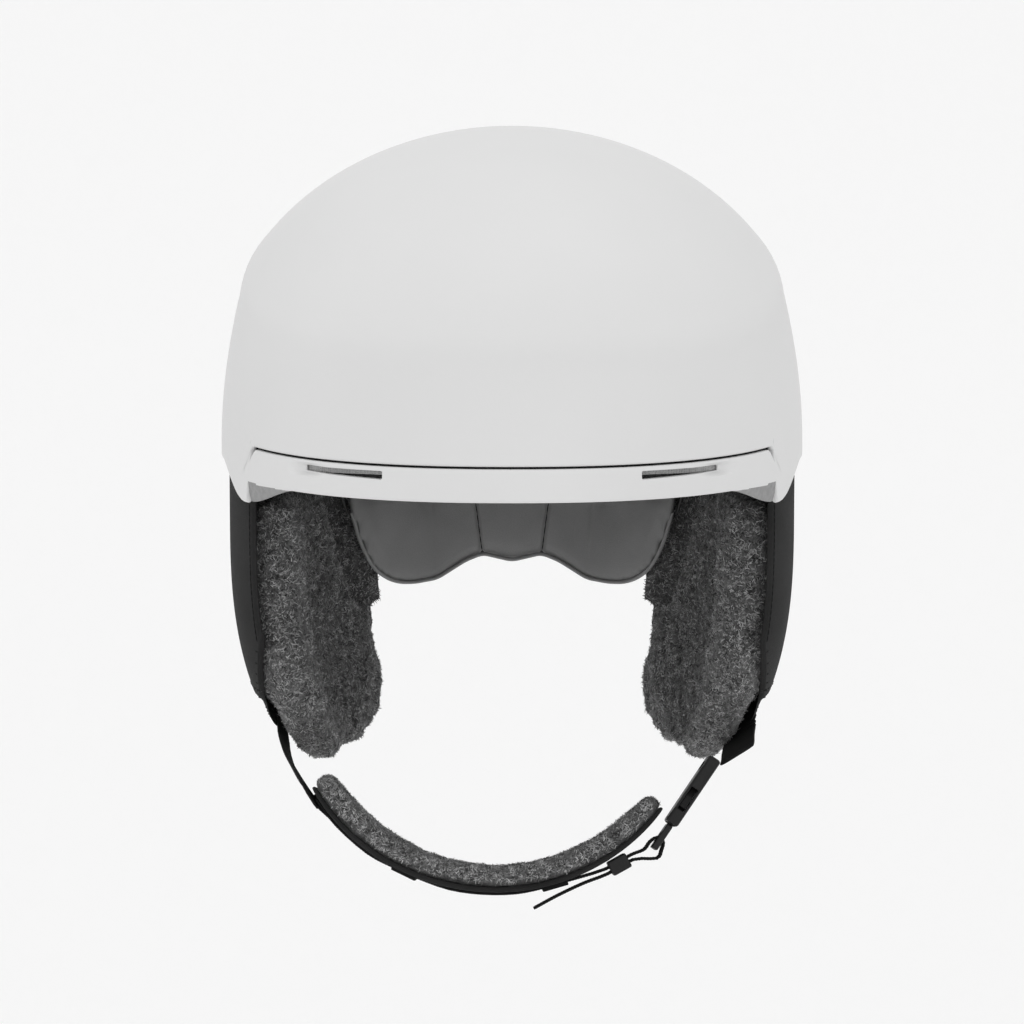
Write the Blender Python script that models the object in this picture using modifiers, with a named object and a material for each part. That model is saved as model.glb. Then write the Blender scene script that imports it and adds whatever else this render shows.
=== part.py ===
"""Ski helmet with ear pads, a dial fit system, a goggle strap clip and a buckled chin strap.

Metres, +Z up. The wearer faces -Y, and +X is on the right of somebody who looks at the face.
The origin is the middle of the head opening, at the level of the brim's lower edge.
"""
import math

import bmesh
import bpy
from mathutils import Euler, Matrix, Vector

# The outer form of the helmet: an egg-shaped plan, a dome and a steeper wall under a soft crease.
CROWN = 0.1310
HALF_WIDTH = 0.1108
FRONT = 0.1370
BACK = 0.1400
PLAN_POWER = 2.4
WIDEST = 0.0106
DOME_WIDTH = 0.1118
DOME_HEIGHT = 0.0918
CREASE_SIDE = 0.046
CREASE_FRONT = 0.077
NAPE_TUCK = 0.10

# The lower edge of the shell, by the angle round from the front, in degrees.
CORNER = 48.7
BRIM_TOP = 0.0123
BRIM_RISE = 0.0027
TEMPLE = -0.0057
OVER_EAR = 0.0042
NAPE = -0.0240
GAP = 0.0004

# Thicknesses, counted inwards from the outer form.
SHELL = 0.0024
BRIM = 0.0030
FOAM_OUTSIDE = 0.0042
FOAM_INSIDE = 0.0250
LINING = 0.0050

# The ear pads: an upright wrap round the ears that leans in towards the jaw.
EAR_WIDTH = 0.1085
EAR_FRONT = 0.0940
EAR_BACK = 0.1026
EAR_POWER = 2.3
EAR_FROM = 62.6
EAR_TO = 144.0
COVER_TO = 146.0
EAR_DROP_FROM = 125.0
EAR_DROP_ANGLE = 12.0
EAR_TOP = -0.0080
EAR_BOTTOM = -0.1150
EAR_COVER = 0.0022
EAR_FLEECE = 0.0062
STRAP_INSET = 0.0048

# The chin strap: an arc under the jaw, the buckle beside it and the strap's turning point.
CHIN_Y = -0.050
CHIN_CENTRE = Vector((-0.0058, CHIN_Y, -0.0770))
CHIN_RADIUS = 0.0694
CHIN_FLEECE = 0.0067
CHIN_BACKING = 0.0010
CHIN_WIDTH = 0.026
WEB_WIDTH = 0.015
WEB_THICK = 0.0010
WEB_RADIUS = 0.0783
LOOP_RADIUS = 0.0792
STRAP_TURN = Vector((-0.1050, CHIN_Y, -0.0188))
BUCKLE_MOUTH = Vector((0.0596, CHIN_Y, -0.1305))
BUCKLE_LEAN = math.radians(34.2)
CHIN_TILT = math.radians(-11.0)
CHIN_PIVOT = Vector((0.0, CHIN_Y, -0.1450))

# The fit system: a cradle at the nape with a dial that draws two racks in.
DIAL = Vector((0.0, 0.0, -0.0360))
CRADLE_Y = 0.1008
CRADLE_THICK = 0.0020
RACK_Y = 0.1050
RACK_THICK = 0.0020
TEETH = 12
PITCH_RADIUS = 0.0045
TOOTH = 0.0006
KNOB_RADIUS = 0.0130

# The goggle strap clip on the back of the shell.
CLIP_Z = 0.0120
CLIP_SEAT_Y = 0.1425
CLIP_WIDTH = 0.036

FINISHES = {
    "shell": ((0.72, 0.72, 0.72), 0.62, 0.0),
    "foam": ((0.03, 0.03, 0.03), 0.9, 0.0),
    "lining": ((0.08, 0.08, 0.085), 0.95, 0.0),
    "fleece": ((0.12, 0.12, 0.125), 1.0, 0.0),
    "cover": ((0.015, 0.015, 0.016), 0.8, 0.0),
    "webbing": ((0.012, 0.012, 0.012), 0.7, 0.0),
    "plastic": ((0.02, 0.02, 0.02), 0.4, 0.0),
    "band": ((0.05, 0.05, 0.055), 0.5, 0.0),
    "metal": ((0.5, 0.5, 0.5), 0.35, 1.0),
}


def clear_scene():
    """Empty the scene and make the two collections that the parts and the cutters go in."""
    for obj in list(bpy.data.objects):
        bpy.data.objects.remove(obj, do_unlink=True)
    for name in ("ski_helmet", "cutters"):
        bpy.context.scene.collection.children.link(bpy.data.collections.new(name))


def finish(name):
    """The material of that name, made the first time it is asked for."""
    material = bpy.data.materials.get(name)
    if material is None:
        colour, roughness, metallic = FINISHES[name]
        material = bpy.data.materials.new(name)
        material.use_nodes = True
        shader = material.node_tree.nodes["Principled BSDF"]
        shader.inputs["Base Color"].default_value = (*colour, 1.0)
        shader.inputs["Roughness"].default_value = roughness
        shader.inputs["Metallic"].default_value = metallic
    return material


def add_object(name, bm, look, parent=None):
    """A mesh object from bm, which is in its parent's axes, or in the world's if it has none."""
    mesh = bpy.data.meshes.new(name)
    bm.to_mesh(mesh)
    bm.free()
    mesh.materials.append(finish(look))
    obj = bpy.data.objects.new(name, mesh)
    obj.parent = parent
    bpy.data.collections["ski_helmet"].objects.link(obj)
    return obj


def add_empty(name, location, rotation=(0.0, 0.0, 0.0), parent=None):
    """An empty that carries the pieces of one moving body, on its joint's axis."""
    empty = bpy.data.objects.new(name, None)
    empty.location = location
    empty.rotation_euler = rotation
    empty.parent = parent
    bpy.data.collections["ski_helmet"].objects.link(empty)
    return empty


def smooth(x):
    """0 below 0, 1 above 1, and an even S-curve between them."""
    x = min(max(x, 0.0), 1.0)
    return x * x * (3.0 - 2.0 * x)


def plan(phi, half_width, front, back, power):
    """A point on an egg-shaped outline, phi round from the front."""
    length = front if math.cos(phi) > 0.0 else back
    across = abs(math.sin(phi)) / half_width
    along = abs(math.cos(phi)) / length
    reach = (across**power + along**power) ** (-1.0 / power)
    return Vector((reach * math.sin(phi), -reach * math.cos(phi), 0.0))


def dome(drop):
    """The share of the full plan that a round dome has at this drop below the crown."""
    return DOME_WIDTH / HALF_WIDTH * math.sqrt(max(1.0 - (1.0 - drop / DOME_HEIGHT) ** 2, 0.0))


def fullness(phi, z):
    """The share of the full plan that the outer form has at height z."""
    forward = smooth(math.cos(phi))
    crease = CREASE_SIDE + (CREASE_FRONT - CREASE_SIDE) * forward
    drop = CROWN - z
    if drop < crease:
        return dome(drop)
    if z > WIDEST:
        left = 1.0 - (drop - crease) / (CROWN - WIDEST - crease)
        return 1.0 - (1.0 - dome(crease)) * left * left
    tuck = NAPE_TUCK * smooth(-math.cos(phi))
    return 1.0 - tuck * ((WIDEST - z) / 0.04) ** 2


def form(phi, z):
    """A point on the helmet's outer form."""
    point = plan(phi, HALF_WIDTH, FRONT, BACK, PLAN_POWER) * fullness(phi, z)
    point.z = z
    return point


def inside_form(phi, z, inset):
    """A point inset square from the outer form, inwards."""
    if CROWN - z < 1e-6:
        return Vector((0.0, 0.0, CROWN - inset))
    turn, step = 1e-3, min(5e-5, (CROWN - z) / 2.0)
    around = form(phi + turn, z) - form(phi - turn, z)
    down = form(phi, z - step) - form(phi, z + step)
    return form(phi, z) - down.cross(around).normalized() * inset


def gap_line(phi):
    """The height of the line where the brim panel meets the shell."""
    return BRIM_TOP + BRIM_RISE * (math.degrees(phi) / CORNER) ** 2


def shell_rim(phi):
    """The height of the shell's lower edge."""
    angle = abs(math.degrees(phi))
    if angle < CORNER:
        return gap_line(phi) + GAP
    side = TEMPLE + (OVER_EAR - TEMPLE) * smooth((angle - CORNER) / (80.0 - CORNER))
    return side + (NAPE - side) * smooth((angle - 110.0) / 55.0)


def foam_rim(phi):
    """The height of the foam's lower edge, just inside the brim and the shell."""
    angle = abs(math.degrees(phi))
    side = 0.0030 + 0.0026 * smooth((angle - CORNER) / 30.0)
    nape = NAPE + 0.002 + 0.008 * smooth((angle - 162.0) / 7.0)
    return side + (nape - side) * smooth((angle - 110.0) / 55.0)


def thicken(bm, place):
    """Close an open surface into a solid: place puts each corner of its two skins."""
    made = bmesh.ops.extrude_face_region(bm, geom=bm.faces[:], use_keep_orig=True)
    inner = {item for item in made["geom"] if isinstance(item, bmesh.types.BMVert)}
    for vertex in bm.verts:
        vertex.co = place(vertex.co.copy(), vertex in inner)
    bmesh.ops.recalc_face_normals(bm, faces=bm.faces[:])
    if bm.calc_volume(signed=True) < 0.0:
        bmesh.ops.reverse_faces(bm, faces=bm.faces[:])


def add_slab(name, columns, rows, place, look, parent=None):
    """A solid bent from a flat grid: place(u, v, inner) gives its points, with u and v from 0 to 1."""
    bm = bmesh.new()
    bmesh.ops.create_grid(bm, x_segments=columns, y_segments=rows, size=0.5)
    thicken(bm, lambda co, inner: place(co.x + 0.5, co.y + 0.5, inner))
    return add_object(name, bm, look, parent)


def add_cap(name, segments, rings, rim, outside, inside, look):
    """A bowl that follows the outer form from the crown down to rim, between two insets."""
    bm = bmesh.new()
    bmesh.ops.create_uvsphere(bm, u_segments=segments, v_segments=2 * rings, radius=1.0)
    low = [vertex for vertex in bm.verts if vertex.co.z < -1e-4]
    bmesh.ops.delete(bm, geom=low, context="VERTS")

    def place(co, inner):
        phi = math.atan2(co.x, -co.y)
        if 44.0 < abs(math.degrees(phi)) < 51.0:
            side = 0.2 if abs(math.degrees(phi)) > 47.0 else -0.2
            phi = math.copysign(math.radians(CORNER + side), phi)
        height = min(max(co.z, 0.0), 1.0)
        z = CROWN - (CROWN - rim(phi)) * (1.0 - height)
        return inside_form(phi, z, inside if inner else outside)

    thicken(bm, place)
    return add_object(name, bm, look)


def lerp(a, b, share):
    """The value at share of the way from a to b."""
    return a + (b - a) * share


def smooth_path(points, steps):
    """Points on a smooth curve through the given ones, steps to each stretch."""
    ends = [2 * points[0] - points[1]] + points + [2 * points[-1] - points[-2]]
    path = []
    for a, b, c, d in zip(ends, ends[1:], ends[2:], ends[3:]):
        for i in range(steps):
            t = i / steps
            pull = 2 * b + (c - a) * t + (2 * a - 5 * b + 4 * c - d) * t * t
            path.append((pull + (3 * b - a - 3 * c + d) * t**3) / 2)
    return path + [points[-1]]


def add_ribbon(name, path, width, thickness, look, centre=None, parent=None):
    """Flat webbing along a path. Its face looks away from centre, or it lies square across Y."""
    last = len(path) - 1

    def place(u, v, inner):
        i = round(u * last)
        along = (path[min(i + 1, last)] - path[max(i - 1, 0)]).normalized()
        if centre is None:
            face = along.cross(Vector((0.0, 1.0, 0.0))).normalized()
        else:
            face = path[i] - Vector((centre.x, path[i].y, centre.z))
            face = (face - along * face.dot(along)).normalized()
        across = face.cross(along)
        return path[i] + across * width * (v - 0.5) + face * thickness * (-0.5 if inner else 0.5)

    return add_slab(name, last, 1, place, look, parent)


def box_mesh(size, centre=(0.0, 0.0, 0.0), tilt=(0.0, 0.0, 0.0)):
    """A bmesh box."""
    bm = bmesh.new()
    bmesh.ops.create_cube(bm, size=1.0)
    bmesh.ops.scale(bm, vec=size, verts=bm.verts)
    place = Matrix.Translation(centre) @ Euler(tilt).to_matrix().to_4x4()
    bmesh.ops.transform(bm, matrix=place, verts=bm.verts)
    return bm


def add_box(name, size, centre, look, parent=None, round_by=0.0, tilt=(0.0, 0.0, 0.0)):
    """A box with bevelled edges."""
    obj = add_object(name, box_mesh(size, centre, tilt), look, parent)
    if round_by:
        bevel = obj.modifiers.new("round", "BEVEL")
        bevel.width = round_by
        bevel.segments = 2
    return obj


def cylinder_mesh(radius, length, centre, axis, sides=24):
    """A bmesh cylinder along axis."""
    bm = bmesh.new()
    bmesh.ops.create_cone(
        bm, cap_ends=True, segments=sides, radius1=radius, radius2=radius, depth=length
    )
    turn = Vector((0.0, 0.0, 1.0)).rotation_difference(Vector(axis)).to_matrix().to_4x4()
    bmesh.ops.transform(bm, matrix=Matrix.Translation(centre) @ turn, verts=bm.verts)
    return bm


def add_cylinder(name, radius, length, centre, axis, look, parent=None, sides=24):
    """A round bar, pin or disc."""
    return add_object(name, cylinder_mesh(radius, length, centre, axis, sides), look, parent)


def boolean(obj, tool, operation):
    """Cut the mesh tool from obj, or join it on, in the axes of obj's parent."""
    mesh = bpy.data.meshes.new(obj.name + "_tool")
    tool.to_mesh(mesh)
    tool.free()
    cutter = bpy.data.objects.new(mesh.name, mesh)
    cutter.parent = obj.parent
    cutter.hide_render = True
    cutter.display_type = "WIRE"
    bpy.data.collections["cutters"].objects.link(cutter)
    modifier = obj.modifiers.new("shape", "BOOLEAN")
    modifier.operation = operation
    modifier.object = cutter


def make_shell():
    """The hard outer shell and the foam that takes the impact."""
    add_cap("outer_shell", 72, 12, shell_rim, 0.0, SHELL, "shell")
    add_cap("foam_liner", 72, 9, foam_rim, FOAM_OUTSIDE, FOAM_INSIDE, "foam")


def make_brim():
    """The brow panel in the shell's notch, with a long vent slot on each side."""
    reach = math.radians(CORNER - 0.5)

    def place(u, v, inner):
        phi = (2.0 * u - 1.0) * reach
        out = abs(2.0 * u - 1.0)
        low = 0.0024 * out**2 - (0.0075 * out**8 if inner else 0.0)
        z = lerp(low, gap_line(phi) - GAP, v)
        return inside_form(phi, z, BRIM if inner else 0.0)

    panel = add_slab("brim_panel", 36, 2, place, "shell")
    for side in (-1.0, 1.0):
        slot = box_mesh(
            (0.0330, 0.0140, 0.0029),
            (side * 0.0606, -0.1215, 0.0097),
            (0.0, -side * math.radians(1.6), side * math.radians(32.6)),
        )
        boolean(panel, slot, "DIFFERENCE")


def make_lining():
    """The comfort pads that are stuck inside the foam."""
    outer, inner_face = FOAM_INSIDE + 2.0 * GAP, FOAM_INSIDE + LINING

    def brow(u, v, inner):
        phi = math.radians(lerp(-52.0, 52.0, u))
        return inside_form(phi, lerp(0.006, 0.030, v), inner_face if inner else outer)

    add_slab("brow_pad", 16, 1, brow, "lining")
    add_cap("crown_pad", 24, 2, lambda phi: 0.1165, outer + GAP, inner_face, "lining")
    for side, word in ((-1.0, "left"), (1.0, "right")):

        def temple(u, v, inner, side=side):
            phi = side * math.radians(lerp(66.0, 112.0, u))
            return inside_form(phi, lerp(0.028, 0.052, v), inner_face if inner else outer)

        add_slab("side_pad_" + word, 8, 1, temple, "lining")


def ear_point(phi, z, inset):
    """A point on an ear pad, inset from its outer face."""
    lean = 0.0175 * (max(-z - 0.018, 0.0) / 0.086) ** 2.8
    inset += lean
    point = plan(phi, EAR_WIDTH - inset, EAR_FRONT - inset, EAR_BACK - inset, EAR_POWER)
    point.z = z
    return point


def ear_bottom(angle):
    """The height of an ear pad's lower edge."""
    away = (angle - 100.0) / (38.0 if angle < 100.0 else 44.0)
    return EAR_BOTTOM + (0.045 if angle < 100.0 else 0.024) * abs(away) ** (3 if angle < 100.0 else 5)


def make_ear_pad(side, word):
    """One ear pad: its stitched cover, the fleece inside it and the two studs that it snaps on."""

    def cover(u, v, inner):
        angle = lerp(EAR_FROM, COVER_TO, u)
        phi = side * math.radians(angle)
        top, low = shell_rim(phi) - 0.0015, ear_bottom(angle) + 0.013
        return ear_point(phi, lerp(top, low, v), EAR_COVER if inner else 0.0)

    def fleece(u, v, inner):
        angle = lerp(EAR_FROM, EAR_TO, u)
        phi = side * math.radians(angle)
        top = lerp(EAR_TOP, -0.0605, smooth((angle - EAR_DROP_FROM) / EAR_DROP_ANGLE))
        deep = lerp(0.0265, 0.0190, smooth(u / 0.6))
        return ear_point(phi, lerp(top, ear_bottom(angle), v), deep if inner else EAR_FLEECE)

    add_slab("ear_pad_cover_" + word, 14, 8, cover, "cover")
    add_slab("ear_pad_fleece_" + word, 14, 8, fleece, "fleece")
    for place, angle in (("front", 76.0), ("rear", 104.0)):
        spot = ear_point(side * math.radians(angle), -0.0029, 0.0130)
        add_cylinder("ear_pad_stud_%s_%s" % (word, place), 0.0045, 0.0085, spot, (0, 0, 1), "plastic")


def cradle_curve(x):
    """How far back the nape cradle stands at x: flat across the dial, then curving forwards."""
    return CRADLE_Y - 19.0 * max(abs(x) - 0.026, 0.0) ** 2


def make_cradle(cradle):
    """The nape cradle with its soft pad, on the rail that lets it move up and down."""

    def frame(u, v, inner):
        x = lerp(-0.062, 0.062, u)
        low = -0.0430 - 0.0095 * smooth((abs(x) - 0.014) / 0.020)
        return Vector((x, cradle_curve(x) + (0.0 if inner else CRADLE_THICK), lerp(low, -0.018, v)))

    def pad(u, v, inner):
        x = lerp(-0.065, 0.065, u)
        low = -0.0462 - 0.0093 * smooth((abs(x) - 0.014) / 0.020)
        low += 0.0255 * smooth((abs(x) - 0.049) / 0.015)
        return Vector((x, cradle_curve(x) - (0.0110 if inner else 0.0004), lerp(low, -0.014, v)))

    local = -cradle.location
    back = add_slab("rear_cradle", 20, 2, lambda *at: frame(*at) + local, "plastic", cradle)
    hole = cylinder_mesh(0.0022, 0.01, DIAL + Vector((0.0, CRADLE_Y, 0.0)) + local, (0, 1, 0), 16)
    boolean(back, hole, "DIFFERENCE")
    add_slab("cradle_pad", 26, 3, lambda *at: pad(*at) + local, "lining", cradle)
    stem = Vector((0.0, 0.1040, -0.0081)) + local
    add_box("cradle_stem", (0.018, 0.0018, 0.0362), stem, "plastic", cradle, 0.0005)


def make_height_rail():
    """The rail on the foam that the cradle's stem slides in."""
    rail = add_box("height_rail", (0.0240, 0.0050, 0.0260), (0.0, 0.1042, 0.0130), "plastic")
    boolean(rail, box_mesh((0.0190, 0.0028, 0.04), (0.0, 0.1040, 0.0100)), "DIFFERENCE")


def rack_mesh(side):
    """A toothed rack: side -1 lies above the pinion and runs left, side 1 below it and right."""
    pitch = 2.0 * math.pi * PITCH_RADIUS / TEETH
    edge = side * (PITCH_RADIUS + TOOTH + 0.0003)
    outline = [Vector((-side * 0.0150, 0.0, -edge - side * 0.0020))]
    outline.append(Vector((-side * 0.0150, 0.0, -edge)))
    for i in range(-4, 5):
        middle = side * (i + 0.5) * pitch
        for share, height in ((-0.40, 0.0), (-0.20, 1.0), (0.20, 1.0), (0.40, 0.0)):
            x = middle + side * share * pitch / 1.6
            outline.append(Vector((x, 0.0, -edge + side * height * 2.0 * TOOTH)))
    outline.append(Vector((side * 0.0270, 0.0, -edge)))
    outline.append(Vector((side * 0.0270, 0.0, -edge - side * 0.0020)))
    return extruded(outline, Vector((0.0, RACK_THICK, 0.0)))


def extruded(outline, depth):
    """A flat outline made solid, half of depth to each side."""
    bm = bmesh.new()
    face = bm.faces.new([bm.verts.new(point - depth / 2.0) for point in outline])
    made = bmesh.ops.extrude_face_region(bm, geom=[face], use_keep_orig=True)
    fresh = [item for item in made["geom"] if isinstance(item, bmesh.types.BMVert)]
    bmesh.ops.translate(bm, verts=fresh, vec=depth)
    bmesh.ops.recalc_face_normals(bm, faces=bm.faces[:])
    return bm


def pinion_mesh():
    """The dial's pinion, with short teeth that mesh with both racks."""
    outline = []
    for i in range(TEETH):
        for share, radius in ((-0.34, -TOOTH), (-0.13, TOOTH), (0.13, TOOTH), (0.34, -TOOTH)):
            turn = 2.0 * math.pi * (i + share) / TEETH
            reach = PITCH_RADIUS + radius
            outline.append(Vector((reach * math.sin(turn), 0.0, reach * math.cos(turn))))
    return extruded(outline, Vector((0.0, RACK_THICK, 0.0)))


def make_dial(cradle):
    """The dial, its pinion and screw, the two racks and the housing that closes over them."""
    centre = DIAL + Vector((0.0, RACK_Y, 0.0))
    local = centre - cradle.location
    dial = add_empty("dial_body", local, parent=cradle)
    add_object("dial_pinion", pinion_mesh(), "plastic", dial)
    knob = add_cylinder("dial_knob", KNOB_RADIUS, 0.0080, (0.0, 0.0079, 0.0), (0, 1, 0), "plastic", dial, 36)
    bevel = knob.modifiers.new("round", "BEVEL")
    bevel.width = 0.0010
    bevel.segments = 2
    bevel.limit_method = "ANGLE"
    add_cylinder("dial_shaft", 0.0030, 0.0022, (0.0, 0.0024, 0.0), (0, 1, 0), "plastic", dial, 16)
    screw = Vector((0.0, CRADLE_Y + 0.0006, DIAL.z)) - cradle.location
    add_cylinder("dial_screw", 0.0016, 0.0020, screw, (0, 1, 0), "metal", cradle, 16)
    for side, word in ((-1.0, "left"), (1.0, "right")):
        rack = add_empty("rack_body_" + word, local, parent=cradle)
        add_object("rack_" + word, rack_mesh(side), "band", rack)
    wall = local + Vector((0.0, 0.0006, 0.0))
    housing = add_box("dial_housing", (0.0420, 0.0054, 0.0186), wall, "plastic", cradle, 0.0008)
    boolean(housing, box_mesh((0.0600, 0.0060, 0.0156), wall - Vector((0.0, 0.0013, 0.0))), "DIFFERENCE")
    boolean(housing, cylinder_mesh(0.0034, 0.02, wall, (0, 1, 0), 24), "DIFFERENCE")


def make_fit_band(side, word):
    """The bendy band from a rack's end round to its anchor at the temple."""
    points = [
        Vector((side * 0.0670, 0.0725, -0.0240)),
        Vector((side * 0.0705, 0.0630, -0.0100)),
        Vector((side * 0.0745, 0.0480, 0.0030)),
        Vector((side * 0.0790, 0.0280, 0.0110)),
        Vector((side * 0.0810, 0.0000, 0.0150)),
        Vector((side * 0.0800, -0.0280, 0.0165)),
    ]
    centre = Vector((0.0, 0.0, 0.0))
    add_ribbon("fit_band_" + word, smooth_path(points, 4), 0.0090, 0.0012, "band", centre)
    spot = Vector((side * 0.0792, -0.0360, 0.0168))
    add_cylinder("temple_anchor_" + word, 0.0050, 0.0030, spot, (1, 0, 0), "plastic")


def make_goggle_clip():
    """The goggle strap clip: a flat seat on the shell, and a strap that hinges over it."""
    seat = Vector((0.0, CLIP_SEAT_Y, CLIP_Z))

    def plate(u, v, inner):
        x, z = lerp(-0.5, 0.5, u) * CLIP_WIDTH, seat.z + lerp(-0.026, 0.026, v)
        if inner:
            return Vector((x, form(math.pi - math.asin(x / BACK), z).y + GAP, z))
        return Vector((x, seat.y, z))

    base = add_slab("goggle_clip_base", 6, 8, plate, "plastic")
    boolean(base, box_mesh((0.030, 0.0016, 0.030), seat - Vector((0.0, 0.0002, 0.0020))), "UNION")
    top = seat + Vector((0.0, 0.0036, 0.0230))
    for side in (-1.0, 1.0):
        ear = top + Vector((side * 0.0140, -0.0010, 0.0))
        boolean(base, box_mesh((0.0030, 0.0078, 0.0052), ear), "UNION")
    pin_hole = cylinder_mesh(0.0013, 0.06, top, (1, 0, 0), 16)
    boolean(base, pin_hole, "DIFFERENCE")
    add_cylinder("goggle_clip_pin", 0.0010, 0.0340, top, (1, 0, 0), "metal", sides=12)
    hinge = add_empty("goggle_clip_body", top)
    barrel = cylinder_mesh(0.0024, 0.0240, (0, 0, 0), (1, 0, 0), 16)
    clip = add_object("goggle_clip", barrel, "plastic", hinge)
    boolean(clip, box_mesh((0.0240, 0.0018, 0.0440), (0.0, 0.0012, -0.0222)), "UNION")
    boolean(clip, cylinder_mesh(0.0013, 0.06, (0, 0, 0), (1, 0, 0), 16), "DIFFERENCE")
    spot = seat + Vector((0.0, 0.0017, -0.0215))
    add_cylinder("goggle_clip_stud", 0.0030, 0.0028, spot, (0, 1, 0), "metal", sides=16)


def chin_arc(angle, radius):
    """A point under the chin, at an angle round from straight down."""
    turn = math.radians(angle)
    return CHIN_CENTRE + Vector((math.sin(turn), 0.0, -math.cos(turn))) * radius


def buckle_place(x, z):
    """A point in the buckle's own axes: x through its thickness, z into its mouth."""
    turn = Euler((0.0, BUCKLE_LEAN, 0.0)).to_matrix()
    return BUCKLE_MOUTH + turn @ Vector((x, 0.0, z))


def tilted(point):
    """Where a point of the upright chin strap goes when the strap's back edge is tipped down."""
    return CHIN_PIVOT + Matrix.Rotation(CHIN_TILT, 3, "X") @ (point - CHIN_PIVOT)


def make_straps():
    """The two side straps, each from its rivet inside the ear pad down to the chin."""
    for side, word in ((-1.0, "left"), (1.0, "right")):
        heights = (-0.012, -0.035, -0.060, -0.085, -0.098)
        points = [ear_point(side * math.pi / 2, z, STRAP_INSET) for z in heights]
        if side < 0.0:
            points.append(Vector((-0.0868, -0.0090, -0.1065)))
            points.append(Vector((-0.0830, -0.0240, -0.1125)))
            points.append(Vector((-0.0795, -0.0340, -0.1158)))
            points.append(Vector((-0.0757, -0.0415, -0.1195)))
        else:
            points.append(Vector((0.0870, -0.0100, -0.1095)))
            points.append(Vector((0.0835, -0.0280, -0.1110)))
            points.append(tilted(buckle_place(0.0008, 0.0365)) + Vector((0.0, 0.008, 0.0)))
        path = smooth_path(points, 4)
        add_ribbon("side_strap_" + word, path, WEB_WIDTH, WEB_THICK, "webbing", CHIN_CENTRE)
        spot = ear_point(side * math.pi / 2, STRAP_TURN.z, STRAP_INSET - WEB_THICK - 0.0002)
        add_cylinder("strap_rivet_" + word, 0.0040, 0.0009, spot, (1, 0, 0), "metal")


def make_chin(body):
    """The padded chin rest with its webbing, keeper loops, slider and the buckle's plug."""
    local = -STRAP_TURN

    def pad(radius, depth, low, high):
        def place(u, v, inner):
            point = chin_arc(lerp(low, high, u), radius + (0.0 if inner else depth))
            narrow = 1.0 - 0.25 * abs(2.0 * u - 1.0) ** 4
            return point + Vector((0.0, (v - 0.5) * CHIN_WIDTH * narrow, 0.0)) + local
        return place

    add_slab("chin_pad_fleece", 20, 2, pad(CHIN_RADIUS, CHIN_FLEECE, -64.0, 56.0), "fleece", body)
    under = pad(CHIN_RADIUS + CHIN_FLEECE + GAP, CHIN_BACKING, -58.0, 54.0)
    add_slab("chin_pad_backing", 20, 2, under, "cover", body)

    slider = Vector((0.0403, CHIN_Y, -0.1456))
    run = Vector((math.cos(math.radians(29.0)), 0.0, math.sin(math.radians(29.0))))
    below = Vector((run.z, 0.0, -run.x))
    main = [chin_arc(angle, WEB_RADIUS) for angle in (-57, -48, -37)]
    main += [chin_arc(angle, LOOP_RADIUS) for angle in (-29, -22.5)]
    main += [chin_arc(angle, WEB_RADIUS) for angle in (-13, -4, 5)]
    main += [chin_arc(angle, LOOP_RADIUS) for angle in (12.5, 19)]
    main += [slider - below * 0.0010 + run * step for step in (-0.0055, 0.0055)]
    bar = [(0.0029, -0.0135), (0.0027, -0.0100), (0.0017, -0.0073), (0.0, -0.0064)]
    main += [buckle_place(-x, z) for x, z in bar]
    main += [buckle_place(x, z) for x, z in reversed(bar[:-1])]
    main += [slider + below * 0.0010 + run * step for step in (0.0055, -0.0055)]
    main += [chin_arc(angle, radius) for angle, radius in ((19, 0.0862), (9.2, 0.0874))]
    path = [point + local for point in smooth_path(main, 3)]
    add_ribbon("chin_webbing", path, WEB_WIDTH, WEB_THICK, "webbing", parent=body)

    lean = -math.radians(29.0)
    place = slider + local
    block = add_box("strap_slider", (0.0077, 0.0196, 0.0058), place, "plastic", body, 0.0006, (0, lean, 0))
    boolean(block, box_mesh((0.02, 0.0162, 0.0040), place, (0, lean, 0)), "DIFFERENCE")
    for angle, word in ((-25.8, "left"), (16.0, "right")):
        spot = chin_arc(angle, LOOP_RADIUS + 0.0001) + local
        turn = (0.0, -math.radians(angle), 0.0)
        loop = add_box("keeper_loop_" + word, (0.0100, 0.0194, 0.0028), spot, "webbing", body, 0.0004, turn)
        boolean(loop, box_mesh((0.02, 0.0164, 0.0017), spot, turn), "DIFFERENCE")


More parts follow.
